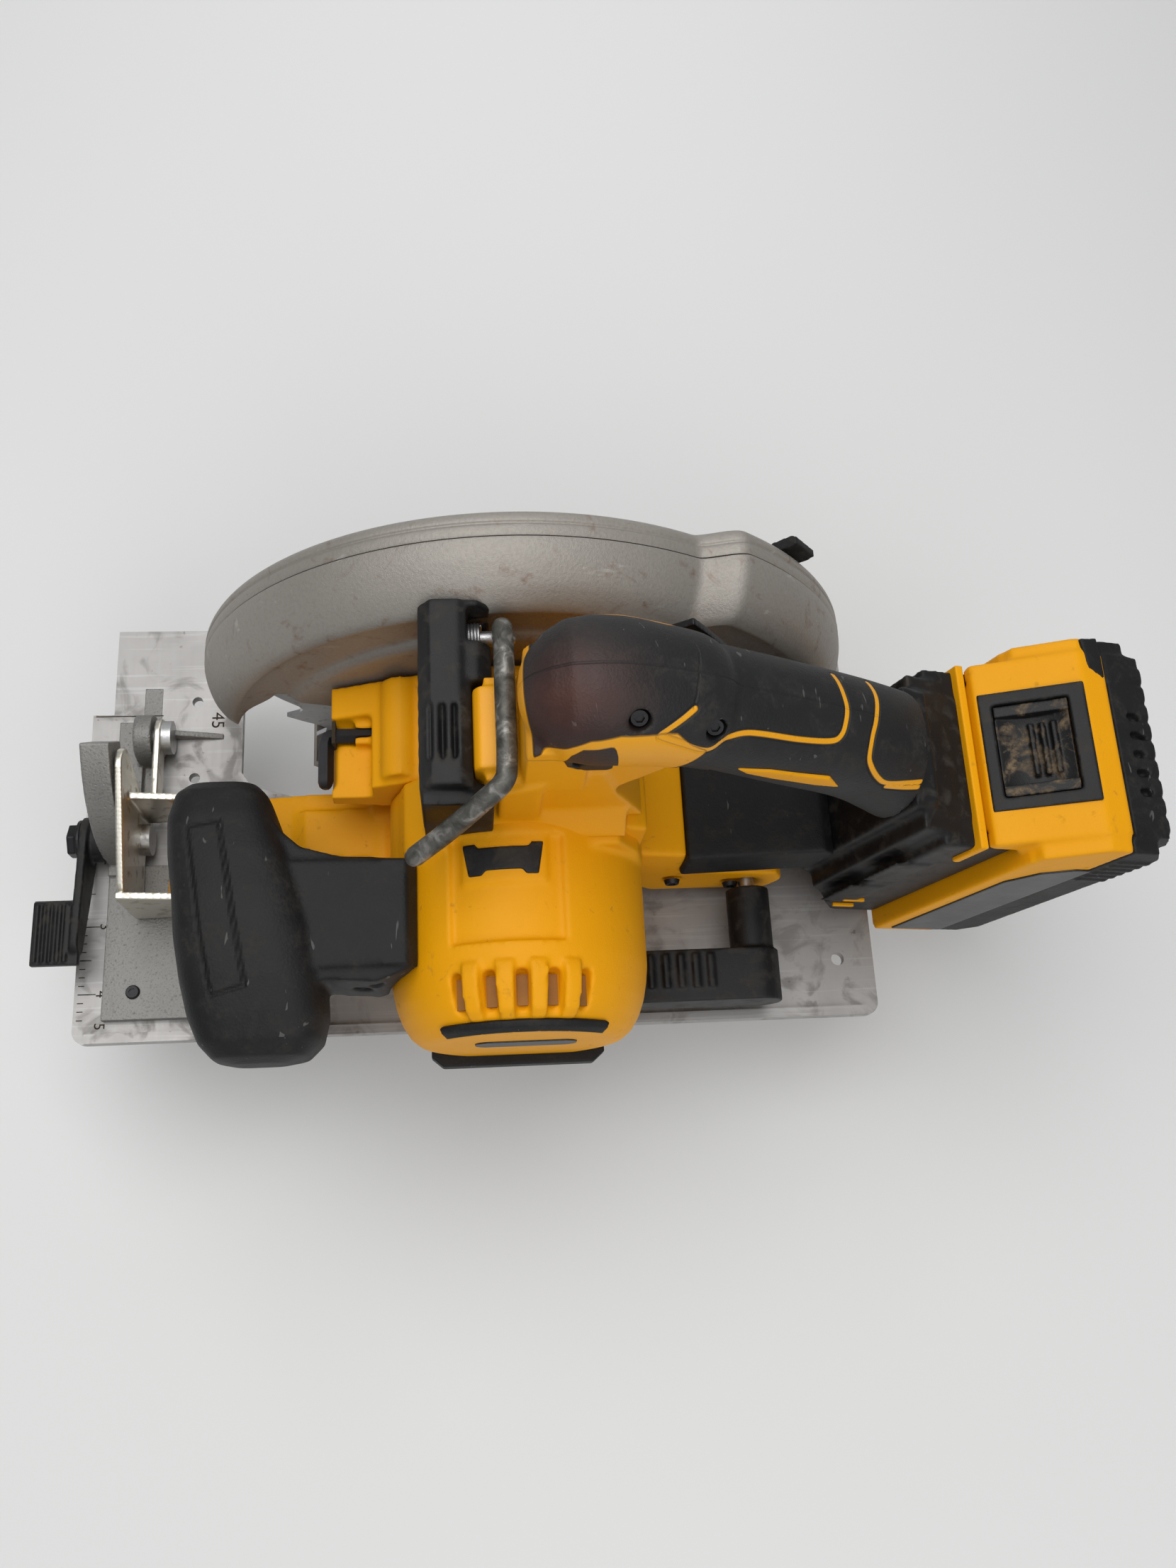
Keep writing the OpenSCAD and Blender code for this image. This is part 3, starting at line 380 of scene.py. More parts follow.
# ---- Solids: (points in mm, faces) ----
def box(lo, hi):
    (a, b, c), (d, e, g) = lo, hi
    points = [(a, b, c), (d, b, c), (d, e, c), (a, e, c), (a, b, g), (d, b, g), (d, e, g), (a, e, g)]
    faces = [(0, 3, 2, 1), (4, 5, 6, 7), (0, 1, 5, 4), (1, 2, 6, 5), (2, 3, 7, 6), (3, 0, 4, 7)]
    return np.array(points, float), faces


def prism(outline, lo, hi, axis="y"):
    """An outline pushed along an axis: (x, z) along y, (y, z) along x, (x, y) along z."""
    n = len(outline)
    order = {"y": lambda u, v, t: (u, t, v), "x": lambda u, v, t: (t, u, v), "z": lambda u, v, t: (u, v, t)}
    points = [order[axis](u, v, t) for t in (lo, hi) for u, v in outline]
    faces = [tuple(range(n - 1, -1, -1)), tuple(range(n, 2 * n))]
    faces += [(i, (i + 1) % n, n + (i + 1) % n, n + i) for i in range(n)]
    return np.array(points, float), faces


def loft(rings, close=True):
    """Rings of equal length joined to a closed skin."""
    n, count = len(rings[0]), len(rings)
    faces = [(r * n + i, r * n + (i + 1) % n, (r + 1) * n + (i + 1) % n, (r + 1) * n + i)
             for r in range(count - 1) for i in range(n)]
    if close:
        faces += [tuple(range(n - 1, -1, -1)), tuple(range((count - 1) * n, count * n))]
    return np.vstack(rings), faces


def turned(profile, centre, steps=96, a0=0.0, a1=360.0):
    """A closed profile of (radius, y) turned about an axis along Y; angles run from +X to +Z."""
    full = abs(a1 - a0 - 360) < 1e-6
    angles = np.radians(np.linspace(a0, a1, steps + 1))
    if full:
        angles = angles[:-1]
    rings = [np.array([(centre[0] + r * math.cos(a), y, centre[1] + r * math.sin(a)) for r, y in profile])
             for a in angles]
    points, faces = loft(rings, close=not full)
    if full:
        n, last = len(profile), (len(angles) - 1) * len(profile)
        faces += [(last + i, last + (i + 1) % n, (i + 1) % n, i) for i in range(n)]
    return points, faces


def arc_block(centre, r0, r1, a0, a1, y0, y1):
    return turned([(r0, y0), (r1, y0), (r1, y1), (r0, y1)], centre, max(2, int(abs(a1 - a0) / 3)), a0, a1)


def squared(angle, power):
    """A point on a unit circle that is pressed towards a square, or back from it."""
    c, w = math.cos(angle), math.sin(angle)
    return math.copysign(abs(c) ** power, c), math.copysign(abs(w) ** power, w)


def rod(a, b, r, n=24):
    """A plain bar from a to b."""
    a, b = Vector(a), Vector(b)
    turn = (b - a).to_track_quat("Z", "Y").to_matrix()
    rings = [np.array([tuple(p + turn @ Vector((r * math.cos(t), r * math.sin(t), 0)))
                       for t in np.linspace(0, 2 * math.pi, n, endpoint=False)]) for p in (a, b)]
    return loft(rings)


def smooth_path(points, per=8):
    """A curve through points, with more points between them."""
    p = np.array(points, float)
    padded = np.vstack([2 * p[0] - p[1], p, 2 * p[-1] - p[-2]])
    out = []
    for i in range(1, len(padded) - 2):
        a, b, c, d = padded[i - 1:i + 3]
        for t in np.linspace(0, 1, per, endpoint=False):
            out.append(0.5 * (2 * b + (c - a) * t + (2 * a - 5 * b + 4 * c - d) * t * t
                              + (3 * b - a - 3 * c + d) * t ** 3))
    return np.array(out + [p[-1]])


def tube(path, radius, n=20):
    """A round bar along a path, with rounded ends."""
    path = np.array(path, float)
    along = np.gradient(path, axis=0)
    along /= np.linalg.norm(along, axis=1)[:, None]
    side = np.cross(along[0], (0.31, 0.2, 0.93))
    rings = []
    for i, (p, d) in enumerate(zip(path, along)):
        side = side - d * np.dot(side, d)
        side /= np.linalg.norm(side)
        up = np.cross(d, side)
        ring = [p + radius * (math.cos(t) * side + math.sin(t) * up)
                for t in np.linspace(0, 2 * math.pi, n, endpoint=False)]
        rings.append(np.array(ring))
    caps = ((0.9, 0.45), (0.6, 0.8))
    ends = [[r0 + (r - r0) * k - d * radius * t for t, k in caps]
            for r, r0, d in ((rings[0], path[0], along[0]), (rings[-1], path[-1], -along[-1]))]
    return loft(ends[0] + rings + ends[1][::-1])


def joined(solids):
    points, faces, base = [], [], 0
    for p, f in solids:
        points.append(p)
        faces += [tuple(i + base for i in q) for q in f]
        base += len(p)
    return np.vstack(points), faces


def moved_by(solid, place):
    points, faces = solid
    return np.array([tuple(place(Vector(p))) for p in points]), faces


def in_pack(p):
    """From the battery pack's own axes to the frame."""
    return PACK + Matrix.Rotation(PACK_LEAN, 3, "Y") @ p


def in_latch(p):
    """From the release button's axes, Z out of its face, to the frame."""
    return in_pack(LATCH + Matrix.Rotation(-LATCH_LEAN, 3, "Y") @ p)


def on_pack(*solids):
    return [moved_by(s, in_pack) for s in solids]


def on_latch(*solids):
    return [moved_by(s, in_latch) for s in solids]


def motor_space(clearance, back):
    """What the round motor takes up, back to a place along Y."""
    return turned([(0.5, -150), (MOTOR_R + clearance, -150), (MOTOR_R + clearance, back), (0.5, back)], MOTOR)


def cad_solid(node):
    """A node's own solid, merged, in mm."""
    made = bmesh.new()
    made.from_mesh(frame["nodes"][node].data)
    bmesh.ops.remove_doubles(made, verts=made.verts, dist=1e-6)
    points = np.array([tuple(v.co) for v in made.verts]) / MM
    faces = [tuple(v.index for v in f.verts) for f in made.faces]
    made.free()
    return points, faces


def object_of(name, solid):
    """A plain object from a solid, its faces turned outwards."""
    points, faces = solid
    mesh = bpy.data.meshes.new(name)
    mesh.from_pydata((np.asarray(points) * MM).tolist(), [], faces)
    made = bmesh.new()
    made.from_mesh(mesh)
    bmesh.ops.recalc_face_normals(made, faces=made.faces)
    made.to_mesh(mesh)
    made.free()
    ob = bpy.data.objects.new(name, mesh)
    bpy.context.collection.objects.link(ob)
    return ob


def settled(ob, name):
    """Applies the modifiers and gives a new plain object."""
    made = bpy.data.meshes.new_from_object(ob.evaluated_get(bpy.context.evaluated_depsgraph_get()))
    made.name = name
    plain = bpy.data.objects.new(name, made)
    bpy.context.collection.objects.link(plain)
    bpy.data.objects.remove(ob)
    return plain


def blended(ob, voxel):
    """Adds the modifier that melts loose solids into one skin."""
    modifier = ob.modifiers.new("blend", "REMESH")
    modifier.mode, modifier.voxel_size = "VOXEL", voxel * MM


def finished(ob, finish, body, nodes=(), sharp=None):
    """Gives a piece its finish, its body and the nodes that it stands for."""
    ob.data.materials.clear()
    ob.data.materials.append(finish)
    ob.data.shade_smooth()
    if sharp:
        ob.data.set_sharp_from_angle(angle=math.radians(sharp))
    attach(ob, body)
    if nodes:
        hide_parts(*nodes)
    return ob


def moulded(name, solids, cuts=(), extras=(), voxel=0.9, rounds=5):
    """Solids melted into one rounded skin; cuts are taken out first, extras added after that."""
    ob = object_of(name, joined(solids))
    blended(ob, voxel)
    if cuts:
        tool = object_of(name + "_tool", joined(cuts))
        cut = ob.modifiers.new("cut", "BOOLEAN")
        cut.operation, cut.object, cut.solver = "DIFFERENCE", tool, "MANIFOLD"
        ob = settled(ob, name + "_cut")
        bpy.data.objects.remove(tool)
        if extras:
            points = np.array([tuple(v.co) for v in ob.data.vertices]) / MM
            faces = [tuple(q.vertices) for q in ob.data.polygons]
            bpy.data.objects.remove(ob)
            ob = object_of(name, joined([(points, faces), *extras]))
        blended(ob, voxel)
    elif extras:
        bpy.data.objects.remove(ob)
        ob = object_of(name, joined([*solids, *extras]))
        blended(ob, voxel)
    if rounds:
        ease = ob.modifiers.new("ease", "SMOOTH")
        ease.factor, ease.iterations = 0.5, rounds
    return settled(ob, name)


def paint(ob, name, values):
    """A number at each vertex, for a finish to read."""
    layer = ob.data.attributes.new(name, "FLOAT", "POINT")
    layer.data.foreach_set("value", np.asarray(values, np.float32))


def skin_points(ob):
    return np.array([tuple(v.co) for v in ob.data.vertices]) / MM


def path_distance(points, path):
    """Distance of each point to a line of short segments."""
    best = np.full(len(points), 1e9)
    for a, b in zip(path[:-1], path[1:]):
        ab = b - a
        t = np.clip(((points - a) @ ab) / max(ab @ ab, 1e-9), 0, 1)
        best = np.minimum(best, np.linalg.norm(points - (a + t[:, None] * ab), axis=1))
    return best


def onto(ob, path):
    """Lays a path on a piece's surface."""
    tree = BVHTree.FromObject(ob, bpy.context.evaluated_depsgraph_get())
    return np.array([tuple(tree.find_nearest(Vector(p) * MM)[0] / MM) for p in path])


# ---- Repeated things ----
def row_tree():
    """Blocks in a row: named inputs for their number, step, size and finish."""
    tree = bpy.data.node_groups.new("row_of_blocks", "GeometryNodeTree")
    face = tree.interface
    face.new_socket("Geometry", in_out="OUTPUT", socket_type="NodeSocketGeometry")
    for name, kind in (("Count", "Int"), ("Start", "Vector"), ("Step", "Vector"), ("Size", "Vector"),
                       ("Finish", "Material")):
        face.new_socket(name, in_out="INPUT", socket_type="NodeSocket" + kind)
    nodes, links = tree.nodes, tree.links
    into, out = nodes.new("NodeGroupInput"), nodes.new("NodeGroupOutput")
    line, block = nodes.new("GeometryNodeMeshLine"), nodes.new("GeometryNodeMeshCube")
    spread, real = nodes.new("GeometryNodeInstanceOnPoints"), nodes.new("GeometryNodeRealizeInstances")
    paint_node = nodes.new("GeometryNodeSetMaterial")
    for a, b in ((into.outputs["Count"], line.inputs["Count"]),
                 (into.outputs["Start"], line.inputs["Start Location"]),
                 (into.outputs["Step"], line.inputs["Offset"]),
                 (into.outputs["Size"], block.inputs["Size"]),
                 (line.outputs[0], spread.inputs["Points"]),
                 (block.outputs[0], spread.inputs["Instance"]),
                 (spread.outputs[0], real.inputs[0]), (real.outputs[0], paint_node.inputs[0]),
                 (into.outputs["Finish"], paint_node.inputs["Material"]),
                 (paint_node.outputs[0], out.inputs[0])):
        links.new(a, b)
    return tree


def head_tree():
    """Screw heads on points: a tapered head with a hexagon socket in it."""
    tree = bpy.data.node_groups.new("screw_heads", "GeometryNodeTree")
    face = tree.interface
    face.new_socket("Geometry", in_out="INPUT", socket_type="NodeSocketGeometry")
    face.new_socket("Geometry", in_out="OUTPUT", socket_type="NodeSocketGeometry")
    for name, kind in (("Radius", "Float"), ("Height", "Float"), ("Socket", "Float"), ("Turn", "Vector"),
                       ("Finish", "Material")):
        face.new_socket(name, in_out="INPUT", socket_type="NodeSocket" + kind)
    nodes, links = tree.nodes, tree.links
    into, out = nodes.new("NodeGroupInput"), nodes.new("NodeGroupOutput")
    head, hollow = nodes.new("GeometryNodeMeshCone"), nodes.new("GeometryNodeMeshCylinder")
    head.inputs["Vertices"].default_value, hollow.inputs["Vertices"].default_value = 32, 6
    shrink = nodes.new("ShaderNodeMath")
    shrink.operation = "MULTIPLY"
    shrink.inputs[1].default_value = 0.82
    cut = nodes.new("GeometryNodeMeshBoolean")
    spread, real = nodes.new("GeometryNodeInstanceOnPoints"), nodes.new("GeometryNodeRealizeInstances")
    lift, paint_node = nodes.new("GeometryNodeTransform"), nodes.new("GeometryNodeSetMaterial")
    place = nodes.new("ShaderNodeCombineXYZ")
    for a, b in ((into.outputs["Radius"], head.inputs["Radius Bottom"]),
                 (into.outputs["Radius"], shrink.inputs[0]), (shrink.outputs[0], head.inputs["Radius Top"]),
                 (into.outputs["Height"], head.inputs["Depth"]),
                 (into.outputs["Socket"], hollow.inputs["Radius"]),
                 (into.outputs["Height"], hollow.inputs["Depth"]),
                 (into.outputs["Height"], place.inputs["Z"]),
                 (hollow.outputs[0], lift.inputs[0]), (place.outputs[0], lift.inputs["Translation"]),
                 (head.outputs[0], cut.inputs["Mesh 1"]), (lift.outputs[0], cut.inputs["Mesh 2"]),
                 (into.outputs[0], spread.inputs["Points"]), (cut.outputs[0], spread.inputs["Instance"]),
                 (into.outputs["Turn"], spread.inputs["Rotation"]),
                 (spread.outputs[0], real.inputs[0]), (real.outputs[0], paint_node.inputs[0]),
                 (into.outputs["Finish"], paint_node.inputs["Material"]),
                 (paint_node.outputs[0], out.inputs[0])):
        links.new(a, b)
    return tree


ROW, HEADS = row_tree(), head_tree()


def grown(name, tree, points, inputs, body, finish, nodes=()):
    """Runs a tree on points and keeps the plain mesh."""
    mesh = bpy.data.meshes.new(name)
    mesh.from_pydata([tuple(Vector(p) * MM) for p in points], [], [])
    ob = bpy.data.objects.new(name, mesh)
    bpy.context.collection.objects.link(ob)
    modifier = ob.modifiers.new("grow", "NODES")
    modifier.node_group = tree
    given = {**inputs, "Finish": finish}
    for item in tree.interface.items_tree:
        if item.in_out == "INPUT" and item.name in given:
            modifier[item.identifier] = given[item.name]
    finished(settled(ob, name), finish, body, nodes, sharp=35)


def plate_row(name, count, start, step, size):
    """A row of thin dark marks on the plate."""
    inputs = {"Count": count, "Start": [v * MM for v in start], "Step": [v * MM for v in step],
              "Size": [v * MM for v in size]}
    grown(name, ROW, [(0, 0, 0)], inputs, "base", PRINT_AND_SHADE)


def screw_heads(name, points, radius, height, body, lean=0, nodes=()):
    """Heads that look up, or lean from +Z towards -Y by an angle."""
    inputs = {"Radius": radius * MM, "Height": height * MM, "Socket": radius * 0.52 * MM,
              "Turn": [math.radians(lean), 0, 0]}
    grown(name, HEADS, points, inputs, body, DARK_METAL, nodes)


# ---- Guards ----
def eased(t):
    """A soft step from 0 to 1."""
    t = min(max(t, 0.0), 1.0)
    return t * t * (3 - 2 * t)


def rim_radius(a):
    """Outer radius of the guard at an angle: the chute bulges at the rear, the tip draws in."""
    return GUARD_R + CHUTE * eased((60 - a) / 6.5) - 5.0 * eased((a - 169) / 8) ** 2


def guard_skin(name, profile, a0, a1, node):
    """A turned skin whose profile may change with the angle, given a wall."""
    rings = []
    for a in np.linspace(a0, a1, 260):
        t, r = math.radians(a), rim_radius(a)
        rings.append(np.array([(ARBOR[0] + q * math.cos(t), y, ARBOR[1] + q * math.sin(t))
                               for q, y in profile(a, r)]))
    n = len(rings[0])
    faces = [(k * n + i, (k + 1) * n + i, (k + 1) * n + i + 1, k * n + i + 1)
             for k in range(len(rings) - 1) for i in range(n - 1)]
    mesh = bpy.data.meshes.new(name)
    mesh.from_pydata((np.vstack(rings) * MM).tolist(), [], faces)
    ob = bpy.data.objects.new(name, mesh)
    bpy.context.collection.objects.link(ob)
    made = bmesh.new()
    made.from_mesh(mesh)
    bmesh.ops.remove_doubles(made, verts=made.verts, dist=0.02 * MM)
    made.to_mesh(mesh)
    made.free()
    first = mesh.polygons[0]
    if first.normal.dot(Vector((ARBOR[0], 0, ARBOR[1])) * MM - first.center) > 0:
        mesh.flip_normals()
    wall = ob.modifiers.new("wall", "SOLIDIFY")
    wall.thickness, wall.offset = GUARD_WALL * MM, -1.0
    edge = ob.modifiers.new("edge", "BEVEL")
    edge.width, edge.segments, edge.limit_method, edge.angle_limit = 0.6 * MM, 2, "ANGLE", math.radians(50)
    finished(settled(ob, name), CASTING, "saw", (node,))


def near_profile(a, r):
    """From the seam over the shoulder and its two ridges to the hub; the wall ends at an inner edge."""
    shape = smooth_path([(0, 3), (-0.3, 0), (-1.6, -5), (-4.2, -11), (-7.5, -15.4), (-10, -17.3), (-12, -17.6),
                         (-13.6, -16.2), (-16, -15.2), (-21, -15.2), (-27, -15.6), (-29, -17.2), (-31, -18.2),
                         (-35, -18.4)], 4)
    inner = 28 + 64 * eased((a - 151) / 7) + 11 * eased((a - 158) / 18)
    line = [(r + d, y) for d, y in shape] + [(q, -18.4) for q in (68, 56, 42, 28)]
    edge = [y for q, y in line if q >= inner][-1]
    return [(q, y) if q > inner else (inner, edge) for q, y in line]


def far_profile(a, r):
    """The blade side of the guard: the same at every angle."""
    shape = smooth_path([(-0.4, 3.6), (0, 5), (0, 7), (-0.5, 7.6), (-0.5, 8.2), (-0.1, 8.8), (-0.4, 10.6),
                         (-1.8, 12.4), (-4, 13), (-12, 13), (-24, 13)], 3)
    return [(r + d, y) for d, y in shape]


def make_guards():
    """Both halves of the upper guard, the hub around the spindle and the lever of the lower guard."""
    guard_skin("guard_shell", near_profile, 4, 177, "upper_guard")
    guard_skin("guard_rim", far_profile, 4, 176, "guard_cover")
    hub = moulded("guard_hub", [turned([(22.4, -19.9), (33, -19.9), (36, -17.4), (36, -16), (22.4, -16)], ARBOR)],
                  voxel=0.7, rounds=3)
    finished(hub, CASTING, "saw")
    lever = [moved_by(s, in_lever) for s in
             (box((39, 10.3, -6.6), (58, 14.4, 6.6)), box((50, 14.4, -4.8), (112, 16.6, 4.8)),
              prism([(108, 14.3), (126, 14.3), (128.4, 15), (128.4, 17.6), (126, 18.4), (108, 17)], -6.6, 6.6,
                    "z"))]
    ribs = [moved_by(box((112 + 3.4 * i, 17, -5.6), (113.5 + 3.4 * i, 18.9, 5.6)), in_lever) for i in range(5)]
    finished(moulded("guard_paddle", lever, extras=ribs, voxel=0.5, rounds=3), RUBBER, "swing_guard",
             ("guard_lever",))


def in_lever(p):
    """From along the lever, across it and up its width to the frame."""
    a = GUARD_LEVER_LEAN
    return Vector((ARBOR[0] + p.x * math.cos(a) - p.z * math.sin(a), p.y,
                   ARBOR[1] + p.x * math.sin(a) + p.z * math.cos(a)))


# ---- Gear case and motor ----
def make_gear_case():
    """The case with its added bosses, the stored key in its slot and the spindle lock."""
    bosses = [rod((96, -56, z), (96, -21, z), 7) for z in (84, 36)]
    bosses += [box((72, -56, 64), (104, -21, 67)), prism([(40, 30), (100, 44), (100, 50), (60, 47)], -72, -54),
               rod((88, -79, 44), (88, -50, 44), 6)]
    cuts = [box((70, -60, 73), (86, -31.5, 100)), box((80, -40, 70.6), (94, -32, 77.4))]
    finished(moulded("gear_case_shell", [cad_solid("gear_case")], cuts, bosses, voxel=1.0, rounds=5),
             YELLOW_SHELL, "saw", ("gear_case",))
    # A thin dark sheet at the back of the key's slot: painted shade.
    slot = prism([(72.2, 70), (73.4, 70), (73.4, 78), (72.2, 78)], -40, -32)
    finished(object_of("key_slot_shade", slot), PRINT_AND_SHADE, "saw", sharp=30)
    key = tube(smooth_path([(98, -36, 74), (80, -36, 74), (72, -36.2, 74), (70.2, -38.2, 74),
                            (70, -42, 74), (70, -52.5, 74)], 6), 2.8, 6)
    finished(object_of("stored_key", key), DARK_METAL, "key", ("hex_key",), sharp=30)
    pin = moulded("lock_button", [turned_x(32, 38, [(70.4, 0.1), (70.4, 4.2), (71.2, 5), (84, 5), (84, 2),
                                                   (97, 2), (97, 0.1)])], voxel=0.4, rounds=2)
    finished(pin, MOULDING, "lock_pin", ("spindle_lock",))


def turned_x(y, z, profile, n=32):
    """A profile of (x, radius) turned about an axis along X at -y, z."""
    rings = [np.array([(x, -y + r * math.cos(t), z + r * math.sin(t))
                       for t in np.linspace(0, 2 * math.pi, n, endpoint=False)]) for x, r in profile]
    return loft(rings)


def make_motor():
    """The yellow barrel with its panel, five cooling slots with ribs between them, badge, bumpers and label."""
    drum = turned([(0.5, -58.2), (MOTOR_R, -58.2), (MOTOR_R, -118), (42.4, -123), (41.2, -129), (39.2, -134.4),
                   (36.4, -138.8), (33, -141.4), (29.5, CAP_Y), (0.5, CAP_Y)], MOTOR)
    shoulder = prism([(92, 70), (97, 88), (106, 99), (166, 99), (174, 84), (177, 70), (165, 58), (104, 58)],
                     -84, -58.2)
    rear_fillet = prism([(176, 40), (172, 62), (166, 84), (150, 96), (140, 90), (160, 50)], -79, -58.2)
    panel = arc_block(MOTOR, 41.2, 52, 71.5, 122, -115.5, -81)
    angles = [math.degrees(math.acos(x / MOTOR_R)) for x in SLOT_PLACES]
    slots = [arc_block(MOTOR, 36.5, 52, a - 2.7, a + 2.7, -136.5, -124) for a in angles]
    side_slots = [box((MOTOR[0] + s * 46 - 6, -93.7 - 9 * i, MOTOR[1] - 14),
                      (MOTOR[0] + s * 46 + 6, -90.3 - 9 * i, MOTOR[1] + 4))
                  for s in (-1, 1) for i in range(4)]
    ribs = [arc_rib((a + b) / 2) for a, b in zip(angles[:-1], angles[1:])]
    badge_field = arc_block(MOTOR, 40.8, 42.4, 78.5, 116.5, -96.5, -82)
    seams = [turned([(42.3, -121.8), (45, -121.8), (45, -122.5), (42.3, -122.5)], MOTOR)]
    finished(moulded("motor_shell", [drum, shoulder, rear_fillet], [panel, *slots, *side_slots, *seams],
                     [*ribs, badge_field], voxel=0.85, rounds=3),
             YELLOW_SHELL, "saw", ("motor_housing", "motor_end_cap"))
    floors = [arc_block(MOTOR, 36.4, 38.2, a - 2.6, a + 2.6, -135, -125.5) for a in angles]
    finished(object_of("slot_floors", joined(floors)), RUSTY, "saw", sharp=30)
    badge = [prism([(115.6, -84), (119.5, -84), (120.6, -85.4), (136.4, -85.4), (137.5, -84), (141.2, -84),
                    (139.4, -94.4), (135.6, -94.4), (134.2, -92.8), (122.8, -92.8), (121.4, -94.4), (117.4, -94.4)],
                   98, 110, "z")]
    outside = [turned([(42.9, -150), (60, -150), (60, -50), (42.9, -50)], MOTOR)]
    finished(moulded("motor_badge", badge, outside, voxel=0.35, rounds=2), MOULDING, "saw")
    upper = turned([(32, -138.8), (36.6, -138.6), (37.9, -139.4), (37.2, -141.2), (34.6, -142.6), (32, -141.6)],
                   MOTOR, 60, 45, 135)
    middle, low = MOTOR[0] - 0.5, CAP_Y - 3.4
    lower = prism([(middle - 30, -135), (middle - 30, low + 3.4), (middle - 26, low), (middle + 26, low),
                   (middle + 30, low + 3.4), (middle + 30, -135)], MOTOR[1] - 30.6, MOTOR[1] - 23.4, "z")
    finished(moulded("cap_bumpers", [upper, lower], voxel=0.5, rounds=3), RUBBER, "saw",
             ("end_bumpers",))
    label = pill(MOTOR[0] + 1, CAP_Y + 0.3, MOTOR[1] + 6, 17, 5.4, -0.8)
    finished(moulded("cap_label", [label], voxel=0.5, rounds=3), LABEL, "saw")


def arc_rib(a):
    """A rounded rib over the rear edge of the barrel."""
    return turned([(36, -139), (38.6, -138.8), (41.4, -136.4), (43.4, -131), (44.2, -125), (43.6, -121.6), (40, -121)],
                  MOTOR, 6, a - 3.6, a + 3.6)


def pill(x, y, z, half_x, half_z, depth):
    """A pill-shaped bar that stands out of a face towards -Y."""
    outline = []
    for cx, a0 in ((half_x - half_z, -90), (-half_x + half_z, 90)):
        outline += [(x + cx + half_z * math.cos(math.radians(a0 + 15 * i)),
                     z + half_z * math.sin(math.radians(a0 + 15 * i))) for i in range(13)]
    return prism(outline, y + depth, y)


# ---- Handles ----
# Along the grip: x, z, half height, half width
GRIP_STATIONS = [(152, 165, 20, 21), (160, 164, 20.2, 21), (172, 160.4, 19.4, 20), (180, 156.8, 18.6, 19.6),
                 (184, 154, 16.6, 18.2), (192, 150, 16.8, 18.2),
                 (214, 137, 18, 18.5), (240, 121, 18, 19), (262, 101, 19, 21), (270, 92, 18, 21)]
GRIP_SCREWS = [(164, -72.3, 178), (186.6, -71.4, 167.5)]
BRACE_SCREWS = [(193, 30), (216, 24)]


def grip_body(n=40):
    """A skin through the stations, with a rounded front end."""
    line = smooth_path(GRIP_STATIONS, 5)
    slope = np.gradient(line[:, :2], axis=0)
    rings = []
    nose = ((-1.0, 0.12), (-0.97, 0.3), (-0.86, 0.52), (-0.66, 0.75), (-0.38, 0.93))
    places = [(line[0], slope[0], t, k) for t, k in nose] + [(s, d, 0, 1) for s, d in zip(line, slope)]
    for s, d, t, k in places:
        a, reach = math.atan2(d[1], d[0]), t * s[2]
        ring = []
        for q in range(n):
            c, w = squared(2 * math.pi * q / n, 0.9)
            high, wide = s[2] * k * c, s[3] * k * w
            ring.append((s[0] + reach * math.cos(a) - high * math.sin(a), HANDLE_Y + wide,
                         s[1] + reach * math.sin(a) + high * math.cos(a)))
        rings.append(np.array(ring))
    return loft(rings)


